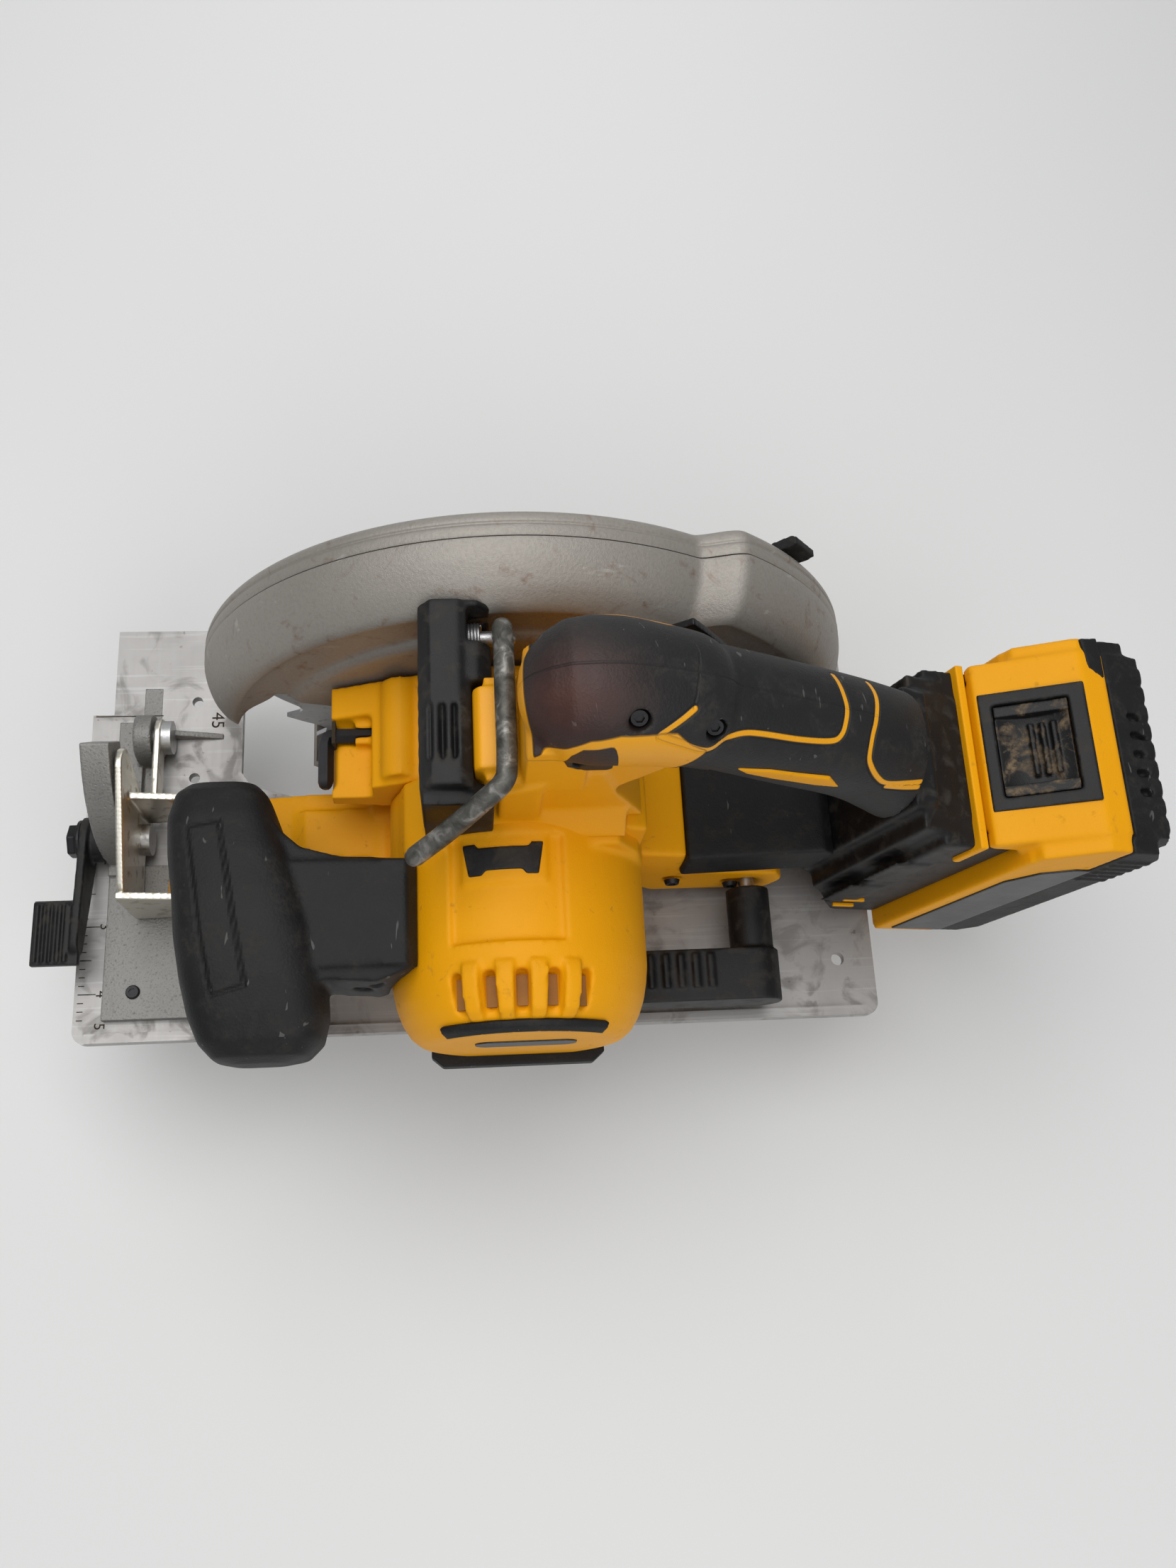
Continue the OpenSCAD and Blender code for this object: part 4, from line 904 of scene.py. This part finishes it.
def make_handle():
    """The yellow body with its black cover in one skin, then the label, the trigger, the button and the screws."""
    post = [prism([(121, 99.2), (123, 137), (158, 140), (164, 120), (174, 99.2)], HANDLE_Y - 16.5, HANDLE_Y + 16.5),
            prism([(132, 130), (134, 152), (172, 152), (176, 140), (160, 120)], HANDLE_Y - 15.5, HANDLE_Y + 15.5),
            prism([(166, 152), (172, 156), (196, 142), (190, 134), (176, 140)], HANDLE_Y - 14, HANDLE_Y + 14),
            prism([(-75, 108), (-82, 99.2), (-60, 99.2)], 122, 168, "x"),
            prism([(119.6, 99.2), (119.6, 137), (121.6, 139.6), (140, 139.6), (140, 99.2)], HANDLE_Y - 13.4,
                  HANDLE_Y + 13),
            prism([(127, 99.2), (127, 132), (140, 138), (140, 99.2)], HANDLE_Y - 19.4, HANDLE_Y + 14),
            prism([(134, 130), (134, 159), (136, 163), (152, 163), (152, 130)], HANDLE_Y - 18, HANDLE_Y + 16)]
    cuts = [box((165.5, HANDLE_Y - 7.6, 116), (191, HANDLE_Y + 7.6, 158)),
            box((147.6, HANDLE_Y - 30, 150.6), (160.4, HANDLE_Y + 30, 158.4))]
    cuts += [rod((x, y + 3, z - 3), (x, y - 8, z + 8), 3.2) for x, y, z in GRIP_SCREWS]
    cuts += on_pack(box((-67.4, -50, -90), (40, 50, 95)))
    ob = moulded("main_handle", [grip_body(), *post], cuts, voxel=0.8, rounds=5)
    paint_grip(ob)
    finished(ob, SKIN, "saw", ("handle_left", "handle_right", "grip_cover"))
    plate = [prism([(195.5, 148.6), (206, 146.2), (216, 141.8), (226, 137.6), (231, 129.5), (222, 132.4),
                    (207.5, 139.4), (199, 144.4)], HANDLE_Y - 18.9, HANDLE_Y - 15)]
    finished(moulded("grip_label", plate, voxel=0.5, rounds=4), YELLOW_SHELL, "saw")
    trigger = prism([(167.4, 144.3), (188.6, 144.3), (188.6, 131), (184, 126.4), (179, 125.4), (172.4, 131),
                     (167.4, 138)], HANDLE_Y - 6.8, HANDLE_Y + 6.8)
    finished(moulded("finger_trigger", [trigger], voxel=0.5, rounds=5), MOULDING, "trigger",
             ("trigger",))
    button = prism([(149.2, 153), (150.6, 151.7), (157.4, 151.7), (158.8, 153), (158.8, 156), (157.4, 157.3),
                    (150.6, 157.3), (149.2, 156)], HANDLE_Y - 19.3, HANDLE_Y + 19.3)
    finished(moulded("lock_off_slider", [button], voxel=0.5, rounds=2), MOULDING, "lock_off",
             ("lock_off_button",))
    screw_heads("grip_screw_heads", [(x, y + 2.2, z - 2.2) for x, y, z in GRIP_SCREWS], 2.9, 1.6, "saw", 45)
    screw_heads("brace_screw_heads", [(x, -79.2, z) for x, z in BRACE_SCREWS], 3.0, 1.6, "saw", 90,
                ("housing_screws",))


def paint_grip(ob):
    """Where the cover, the accent lines, the parting line with a crease and the worn patch lie; the crease is darkened
    as painted shade.
    """
    points = skin_points(ob)
    x, z = points[:, 0], points[:, 2]
    edge = np.interp(x, [134, 137.5, 142, 146, 151, 159, 165, 172, 175, 179, 184, 190, 200, 270],
                     [157, 162, 167, 171, 174.5, 176, 175, 173.6, 172.6, 168, 163.8, 150, 110, 60])
    # A black window painted round the lock-off slot stands for its recess: painted shade, in the cover's black.
    window_top = np.interp(x, [144.4, 146, 149, 157, 158.6, 159.4], [158, 166, 170.6, 172.6, 170, 160])
    window_foot = np.interp(x, [144.4, 146, 149, 154, 157.4, 159.4], [158, 152, 149.6, 149.6, 152, 160])
    lockoff_recess_shade = 0.8 * np.minimum(window_top - z, z - window_foot)
    under = np.minimum(0.8 * (x - 174 - 0.77 * (z - 150)) - 100 * (z > 166), 0.7 * (z - 134 + 1.3 * (x - 182)))
    cover = np.minimum(np.maximum(0.8 * (z - edge), under), x - 135.2 + 0.25 * (z - 165))
    for a, y, b in GRIP_SCREWS:
        hole = path_distance(points, np.array([(a, y + 4, b - 4), (a, y - 8, b + 8)]))
        cover = np.maximum(cover, 3.8 - hole)
    paint(ob, "cover", np.maximum(cover, lockoff_recess_shade))
    branch = [(170, -75, 174), (174, -72.8, 175.2), (179.6, -68.2, 175.6)]
    first = [(170, -75, 173), (177, -76, 168.6), (184, -75.6, 163.8), (189, -73.9, 164), (195, -71.4, 163.3),
             (201, -70.4, 160.6), (214, -69.8, 153.8), (224.5, -68.5, 148.7), (228, -66.4, 148),
             (229.6, -62.4, 148.2), (230.4, -58, 148), (229.8, -53, 148), (228, -46.4, 145.7)]
    second = [(241.3, -45.4, 137), (242.6, -51.4, 140), (241.2, -59, 141.7), (239.2, -65, 141.8),
              (238.4, -70.2, 139.2), (240, -72.8, 135.6), (243, -74.4, 131), (246.5, -75, 127.6),
              (253.7, -74, 124.4), (259.7, -72.8, 121.5)]
    heavy = [(247, -76, 126), (253.5, -75.2, 122.8), (259, -74, 120)]
    # The crease across the top of the grip, darkened in the skin as painted shade.
    crease = [(180, -47.8, 175.4), (181.6, -51.3, 176), (181.1, -58.8, 177), (180, -64.8, 176.8),
              (179.2, -68, 175.8)]
    lines = [onto(ob, smooth_path(p, 6)) for p in (branch, first, second, heavy)]
    paint(ob, "accent", np.min([path_distance(points, p) for p in lines], axis=0))
    seam = np.abs(points[:, 1] - HANDLE_Y) + 10 * (z < 140)
    paint(ob, "parting", np.minimum(seam, path_distance(points, onto(ob, smooth_path(crease, 6)))))
    worn = np.exp(-((x - 146) / 15) ** 2 - ((points[:, 1] + 66) / 13) ** 2) * (z > 158)
    paint(ob, "worn", worn)


def squarish(stations, power=3.6, n=48):
    """A skin along Y through squarish sections: y, x, z of the middle, then half width and half height."""
    rings = []
    for y, x, z, wide, high in stations:
        around = [squared(2 * math.pi * q / n, 2 / power) for q in range(n)]
        rings.append(np.array([(x + wide * c, y, z + high * w) for c, w in around]))
    return loft(rings)


def make_knob():
    """The rubber front handle: a tall knob on a neck, with a pressed outline on its face, darkened as painted shade.
    """
    body = squarish([(-56, 38, 79, 6, 7), (-57.2, 38, 79, 11.5, 12), (-61, 37.8, 79, 15, 16.5),
                     (-70, 38.6, 79.5, 17.6, 19.5), (-82, 41.4, 80, 19.6, 21), (-95, 44.6, 80.4, 21, 21.6),
                     (-108, 47, 80.4, 22.3, 21.8), (-122, 49.4, 80, 22.4, 21), (-133, 51, 79.4, 21.4, 19.4),
                     (-141, 51.8, 79, 19, 16.6), (-145.8, 51.8, 79, 14.6, 12), (-147.4, 51.6, 79, 8, 6)])
    neck = [prism([(48, -62), (53, -68), (58, -75), (64, -80.6), (76, -84), (99, -85.6), (99, -121), (88, -125),
                   (72, -123.6), (64, -127), (60, -134), (48, -134)], 64, 94.5, "z"),
            prism([(56, 66), (100, 61), (104, 84), (98, 97), (60, 96)], -120, -86)]
    pin_holes = [rod((88, -123, 84), (88, -130, 90), 2.2), rod((83, -121, 78), (83, -130, 78), 3)]
    ob = moulded("front_knob", [body, *neck], [motor_space(0.2, -60), *pin_holes], voxel=0.8, rounds=6)
    points = skin_points(ob)
    corners = [(28, -74, 106), (39.5, -72, 106), (49, -127, 106), (37.5, -130, 106), (28, -74, 106)]
    outline = onto(ob, [tuple(Vector(a).lerp(Vector(b), t)) for a, b in zip(corners[:-1], corners[1:])
                        for t in np.linspace(0, 1, 14)])
    # The mark sinks the outline and also darkens it; the darkening is painted shade.
    paint(ob, "mark", np.clip(1.3 - path_distance(points, outline) / 0.8, 0, 1))
    finished(ob, RUBBER, "saw", ("front_handle",))


# ---- Brace, foot and battery ----
def make_brace():
    """The yellow brace under the grip and its rubber sleeve."""
    near, far = -78.8, -37.2
    body = [prism([(172, 30), (186, 14), (232, 14), (236, 24), (232, 34), (208, 38), (194, 42), (194, 62), (176, 66),
                   (160, 60)], near, far), box((194, near + 2, 43), (239, far - 2, 57)),
            prism([(176, 66), (176, 96), (168, 99), (160, 60)], near, far - 4)]
    keep_out = prism([(90, -10), (150, -10), (180, 40), (177.6, 60), (170, 100), (90, 100)], -58, -20)
    cuts = [motor_space(0.1, -58), keep_out, rod((222, -90, 25), (222, -30, 25), 3.3)]
    cuts += [rod((x, -90, z), (x, -76, z), 3.5) for x, z in BRACE_SCREWS]
    finished(moulded("brace_shell", body, cuts, voxel=0.9, rounds=5), YELLOW_SHELL, "saw",
             ("rear_brace",))
    sleeve = [prism([(194, 41.5), (246, 47.5), (250, 60), (242, 68.5), (232, 68), (194, 63)], -80.4, -36.2)]
    cuts = [prism([(193, 53.2), (236, 57.6), (236, 58.4), (193, 54)], -82, -79.6),
            box((231, -82, 40), (231.8, -79.6, 60)), *on_pack(box((-67.3, -50, -90), (40, 50, 95))),
            box((180, -100, 0), (238, 0, 40.6))]
    finished(moulded("brace_sleeve", sleeve, cuts, voxel=0.7, rounds=5), RUBBER, "saw",
             ("brace_cover",))


def make_foot():
    """The black foot that carries the pack, in the pack's own axes."""
    top = 34
    hull = prism([(-67.3, -36), (-45, -56), (-37.6, -56), (-37.6, top), (-45, top + 1), (-67.3, top + 8)], -21, 21)
    wings = prism([(-62, -38), (-45, -56), (-37.6, -56), (-37.6, top), (-45, top), (-62, top + 4)], -27, 27)
    flare = prism([(-53, -46), (-45, -56), (-37.6, -56), (-37.6, top), (-53, top)], -31, 31)
    cheeks = [box((-37.8, s * 29 - 2, -56), (-25.6, s * 29 + 2, top)) for s in (-1, 1)]
    lips = [box((-31.6, min(s * 20.6, s * 28), -56), (-28.4, max(s * 20.6, s * 28), top)) for s in (-1, 1)]
    neck = box((-67.3, -19, 0), (-58, 19, top + 8))
    pads = [box((-58, -31.8, -40 + 30 * i), (-44, -30.6, -18 + 30 * i)) for i in range(2)]
    cuts = [box((-50, -33, -8.4), (-37, -30.4, -7.6)), box((-60, -33, 18), (-36, -30.2, 18.8))]
    finished(moulded("foot_shell", on_pack(hull, wings, flare, neck, *cheeks, *lips), on_pack(*cuts),
                     on_pack(*pads), voxel=0.9, rounds=4), MOULDING, "saw", ("battery_foot",))
    rim = on_pack(box((-41.4, -32.4, 20), (-38.4, 32.4, top + 3.2)))
    finished(moulded("foot_rim", rim, voxel=0.5, rounds=3), YELLOW_SHELL, "saw")
    bars = on_pack(*[box((-50, -32.2, -46 + 8 * i), (-41, -30.6, -44.4 + 8 * i)) for i in range(2)])
    finished(moulded("foot_marks", bars, voxel=0.4, rounds=2), YELLOW_SHELL, "saw")


def make_battery():
    """Case with its release button in a frame, rubber base and side label, in the pack's own axes."""
    head = [box((-25, -37.5, -58.5), (2, 37.5, 40)),
            prism([(2, 34), (2, 58.5), (-8, 58.5), (-37, 39), (-37, 34.6), (-25, 34.6)], -32, 32),
            prism([(2, 34), (2, 57.5), (-7, 57.5), (-24, 45), (-25, 34.6)], -37.4, 37.4),
            box((-37, -25, -58.5), (-25, 25, 36))]
    grooves = on_pack(*[box((-32, min(s * 20, s * 26), -60), (-28, max(s * 20, s * 26), 34.6)) for s in (-1, 1)])
    pocket = on_latch(box((-13, -17, -11), (13, 17, 2)))
    finished(moulded("pack_case", on_pack(*head), grooves + pocket, voxel=0.85, rounds=5), YELLOW_SHELL, "battery",
             ("battery_case",))
    ring = on_latch(box((-16.6, -20.6, -3), (-12.2, 20.6, 1.3)), box((12.2, -20.6, -3), (17.8, 20.6, 1.3)),
                    box((-16.6, -20.6, -3), (17.8, -16.2, 1.3)), box((-16.6, 16.2, -3), (17.8, 20.6, 1.3)))
    finished(moulded("latch_frame", ring, voxel=0.5, rounds=8), MOULDING, "battery")
    scoop = on_latch(rod((0, -12, 20), (0, 12, 20), 24, 96))
    ribs = on_latch(*[box((-1.5 + 3.6 * i, -9, -4.2), (0.1 + 3.6 * i, 9, -1.2)) for i in range(3)])
    button = on_latch(box((-11.9, -15.9, -7), (11.9, 15.9, 0.4)))
    finished(moulded("pack_button", button, scoop, ribs, voxel=0.45, rounds=3), DUSTY, "battery_button",
             ("battery_release",))
    base = [prism([(2.2, -58.4), (15, -58.4), (22.4, -50), (22.4, 50), (17, 57.5), (12, 58.4), (2.2, 58.4)], -32, 32),
            prism([(2.2, -57), (12, -57), (18, -50), (18, 50), (12, 57), (2.2, 57)], -37.4, 37.4)]
    pitch = 6.6
    pockets = [box((8, -18 + pitch * i, 55), (15, -15.4 + pitch * i, 60)) for i in range(5)]
    teeth = [prism([(13, 48), (20, 40), (21.8, 46), (21.2, 53), (17, 58.4), (13, 58.6)], -29.8 + pitch * i,
                   -25.6 + pitch * i) for i in range(9)]
    shoulder = prism([(1, 22), (-5, 26), (-6, 36.6), (1, 37.2)], 50, 58.8, "z")
    side_ribs = [box((5, -38.2, 24 + 4.2 * i), (17, -36.6, 26 + 4.2 * i)) for i in range(6)]
    finished(moulded("pack_base", on_pack(*base), on_pack(*pockets), on_pack(*teeth, *side_ribs, shoulder),
                     voxel=0.75, rounds=3), RUBBER, "battery", ("battery_base",))
    label = on_pack(prism([(-20, -54), (-20, 18), (-14, 30), (-4, 36), (2, 36), (2, -54)], -38.1, -36.8))
    finished(moulded("pack_label", label, voxel=0.5, rounds=3), LABEL, "battery")


# ---- Hook, clamps and bracket ----
def make_hook():
    """The black block, the bent bar on its pivot and the spring around the pivot."""
    block = [prism([(103.4, 92), (119.5, 96), (119.5, 136), (116, 139), (107, 138.6), (103.4, 134)], -76, -16),
             prism([(104, 96), (125.8, 100), (125.8, 133), (122, 137.6), (107, 138.6)], -42.5, -15.5),
             prism([(104, 94), (125.6, 98), (125.6, 128), (120, 133), (104, 134)], -80.5, -73)]
    guard_space = turned([(60, -20.3), (89, -20.3), (96.3, -19.3), (105.3, -15.3), (110.8, -9.8), (115, 0), (60, 0)],
                         ARBOR)
    pockets = [box((118.4, -29.4, 119), (127, -18, 141)), box((119.6, -41, 121), (127, -32, 129))]
    slots = [box((106.2 + 3.6 * i, -68, 136.4), (107.8 + 3.6 * i, -50, 141)) for i in range(3)]
    fins = [prism([(104, 120), (103.2, 121), (103.2, 133), (104, 134)], -70 + 5 * i, -67.5 + 5 * i)
            for i in range(8)]
    finished(moulded("hook_block", block, [guard_space, *pockets, motor_space(0, -58), *slots], fins, voxel=0.7,
                     rounds=6), MOULDING, "saw", ("hook_mount",))
    x, y, z = 129.2, -24, 126
    bar = smooth_path([(x, y + 0.5, z - 0.5), (x, y - 0.6, z + 8), (x, y - 4, z + 15.4), (x, -37, z + 18.2),
                       (x, -55, z + 18.4), (x, -71, z + 18), (x - 1.2, -77, z + 17.2), (x - 7, -81.6, z + 13.8),
                       (x - 17, -87.2, z + 4), (101.5, -92.6, 121)], 7)
    finished(object_of("hook_bar", tube(bar, 3.15, 24)), BAR, "hook", ("rafter_hook",))
    pivot = tube([(106.4, y, z), (118, y, z), (131.5, y, z)], 2.5, 20)
    finished(object_of("hook_pivot", pivot), BRIGHT, "hook", sharp=40)
    turns, coil_r = 5, 4.5
    coil = [(117.8 + 5.0 * t, y + coil_r * math.cos(2 * math.pi * turns * t),
             z + coil_r * math.sin(2 * math.pi * turns * t)) for t in np.linspace(0, 1, 121)]
    finished(object_of("hook_coil", tube(coil, 0.5, 8)), BRIGHT, "saw", ("hook_spring",))


def make_bracket():
    """Castings, sheet parts and levers that keep the frame's own shape, with their edges eased and ribs added."""
    stub, fin = rod((-6, -96, 4.3), (-6, -96, 7.9), 2.4), prism([(-3, 4.2), (24, 4.2), (-3, 11.5)], -10, -7.6)
    finished(moulded("cast_pad", [cad_solid("bevel_quadrant"), stub], [box((-1.4, -61.5, 3.5), (20, 13, 6.4))], [fin],
                     voxel=0.5, rounds=3), ROUGH_CAST, "base", ("bevel_quadrant",))
    finished(moulded("rear_lug", [cad_solid("rear_pivot_lug")], voxel=0.45, rounds=2), ROUGH_CAST, "base",
             ("rear_pivot_lug",))
    finished(moulded("tilt_bracket", [cad_solid("bevel_bracket")], voxel=0.45, rounds=2), ZINC_PLATE, "bevel_frame",
             ("bevel_bracket",))
    finished(moulded("depth_arc", [cad_solid("depth_quadrant")], voxel=0.55, rounds=2), DARK_METAL, "bevel_frame",
             ("depth_quadrant",))
    ribs = [box((-38 + 2.6 * i, -101, 22.4), (-36.8 + 2.6 * i, -80, 24)) for i in range(5)]
    finished(moulded("tilt_lever", [cad_solid("bevel_lever")], extras=ribs, voxel=0.5, rounds=4), MOULDING,
             "bevel_clamp", ("bevel_lever",))
    finished(moulded("tilt_nut", [cad_solid("bevel_nut")], voxel=0.4, rounds=3), DARK_METAL, "bevel_clamp",
             ("bevel_nut",))
    ridges = [box((176 + 5.5 * i, -120, 32.6), (178 + 5.5 * i, -108, 35)) for i in range(6)]
    finished(moulded("depth_clamp_lever", [cad_solid("depth_lever")], extras=ridges, voxel=0.6, rounds=4), MOULDING,
             "depth_clamp", ("depth_lever",))
    places = [(-6, -110, 8.3), (22, -112, 8.3), (22, -70, 8.3), (264, -26, 4.7), (264, 4, 4.7)]
    screw_heads("plate_screw_heads", places, 2.6, 0.9, "base", nodes=("base_screws",))


def make_plate_marks():
    """Ruler along the front edge and two guide lines across the plate."""
    level = PLATE_TOP + 0.02
    for name, step, length in (("eighth_ticks", INCH / 8, 2.2), ("half_ticks", INCH / 2, 4.2),
                               ("inch_ticks", INCH, 6.5)):
        plate_row(name, int(112 / step), (PLATE_FRONT + 1.2 + length / 2, RULER_ZERO - step, level), (0, -step, 0),
                  (length, 0.35, 0.08))
    plate_row("guide_lines", 2, (-14, 0.4, level), (0, -14, 0), (26, 0.4, 0.08))


def make_numbers():
    """Plain numbers beside the ruler's inch ticks and the half right angle mark."""
    marks = [(str(i), -18.5, RULER_ZERO - INCH * i, 5.5) for i in range(1, 5)]
    marks += [("5", -18.5, -121.5, 5.5), ("45", 20, -2, 7)]
    for text, x, y, size in marks:
        curve = bpy.data.curves.new("number_" + text, "FONT")
        curve.body, curve.size, curve.extrude = text, size * MM, 0.02 * MM
        curve.align_x, curve.align_y = "CENTER", "CENTER"
        ob = bpy.data.objects.new("number_" + text, curve)
        bpy.context.collection.objects.link(ob)
        plain = settled(ob, "scale_number_" + text)
        plain.data.transform(Matrix.Translation(Vector((x, y, PLATE_TOP + 0.03)) * MM)
                             @ Matrix.Rotation(math.radians(-90), 4, "Z"))
        finished(plain, PRINT_AND_SHADE, "base", sharp=30)


# ---- Camera, floor and light ----
def make_view():
    """A camera above the motor side, its axes given as right, up and back."""
    data = bpy.data.cameras.new("eye")
    data.sensor_fit, data.sensor_height, data.lens = "VERTICAL", 36.0, 30.92
    data.clip_start, data.clip_end = 0.01, 20
    eye = bpy.data.objects.new("eye", data)
    right, up, back = (0.99541, -0.05051, 0.08132), (0.02215, 0.94794, 0.31766), (-0.09314, -0.31440, 0.94471)
    turn = Matrix((right, up, back)).transposed().to_4x4()
    eye.matrix_world = Matrix.Translation(Vector((116, -201.4, 513)) * MM) @ turn
    bpy.context.collection.objects.link(eye)
    bpy.context.scene.camera = eye


def make_surroundings():
    """Pale floor, soft room and three soft lights: name, place, aim, size and power."""
    f = Finish("pale_floor")
    f.set(color=(0.80, 0.80, 0.79, 1), rough=0.55)
    size, low = 3000, GROUND - 0.3
    points = [(-size, -size, low), (size, -size, low), (size, size, low), (-size, size, low)]
    floor = object_of("floor", (np.array(points, float), [(0, 1, 2, 3)]))
    if floor.data.polygons[0].normal.z < 0:
        floor.data.flip_normals()
    floor.data.materials.append(f.material)
    world = bpy.data.worlds.new("soft_room")
    world.use_nodes = True
    world.node_tree.nodes["Background"].inputs[0].default_value = (0.86, 0.88, 0.90, 1)
    world.node_tree.nodes["Background"].inputs[1].default_value = 0.30
    bpy.context.scene.world = world
    for name, at, aim, size, power in (("key", (-60, 160, 1250), (120, -40, 40), 1000, 9.6),
                                       ("fill", (350, -900, 900), (130, -260, 0), 900, 5.0),
                                       ("strip", (200, 900, 500), (130, 0, 80), 700, 1.5)):
        light = bpy.data.lights.new(name, "AREA")
        light.size, light.energy = size * MM, power
        ob = bpy.data.objects.new(name, light)
        ob.location = Vector(at) * MM
        ob.rotation_euler = (Vector(aim) - Vector(at)).to_track_quat("-Z", "Y").to_euler()
        bpy.context.collection.objects.link(ob)
    bpy.context.scene.view_settings.view_transform = "Standard"


def dress_nodes():
    """Finishes of the nodes that keep their own shape."""
    finishes = {"plate": PLATE, "casting": CASTING, "bracket": ROUGH_CAST, "zinc": ZINC_PLATE, "steel": BRIGHT,
                "yellow_shell": YELLOW_SHELL, "black_rubber": RUBBER, "black_plastic": MOULDING, "copper": COPPER,
                "board": BOARD, "cell_wrap": WRAP}
    slots = {entry["node"]: entry["material_slot"] for entry in frame["record"]["subparts"]}
    for node, ob in frame["nodes"].items():
        if not ob.data.materials:
            ob.data.materials.append(None)
        for i in range(len(ob.data.materials)):
            ob.data.materials[i] = finishes[slots[node]]


make_view()
make_surroundings()
dress_nodes()
make_guards()
make_gear_case()
make_motor()
make_handle()
make_knob()
make_brace()
make_foot()
make_battery()
make_hook()
make_bracket()
make_plate_marks()
make_numbers()
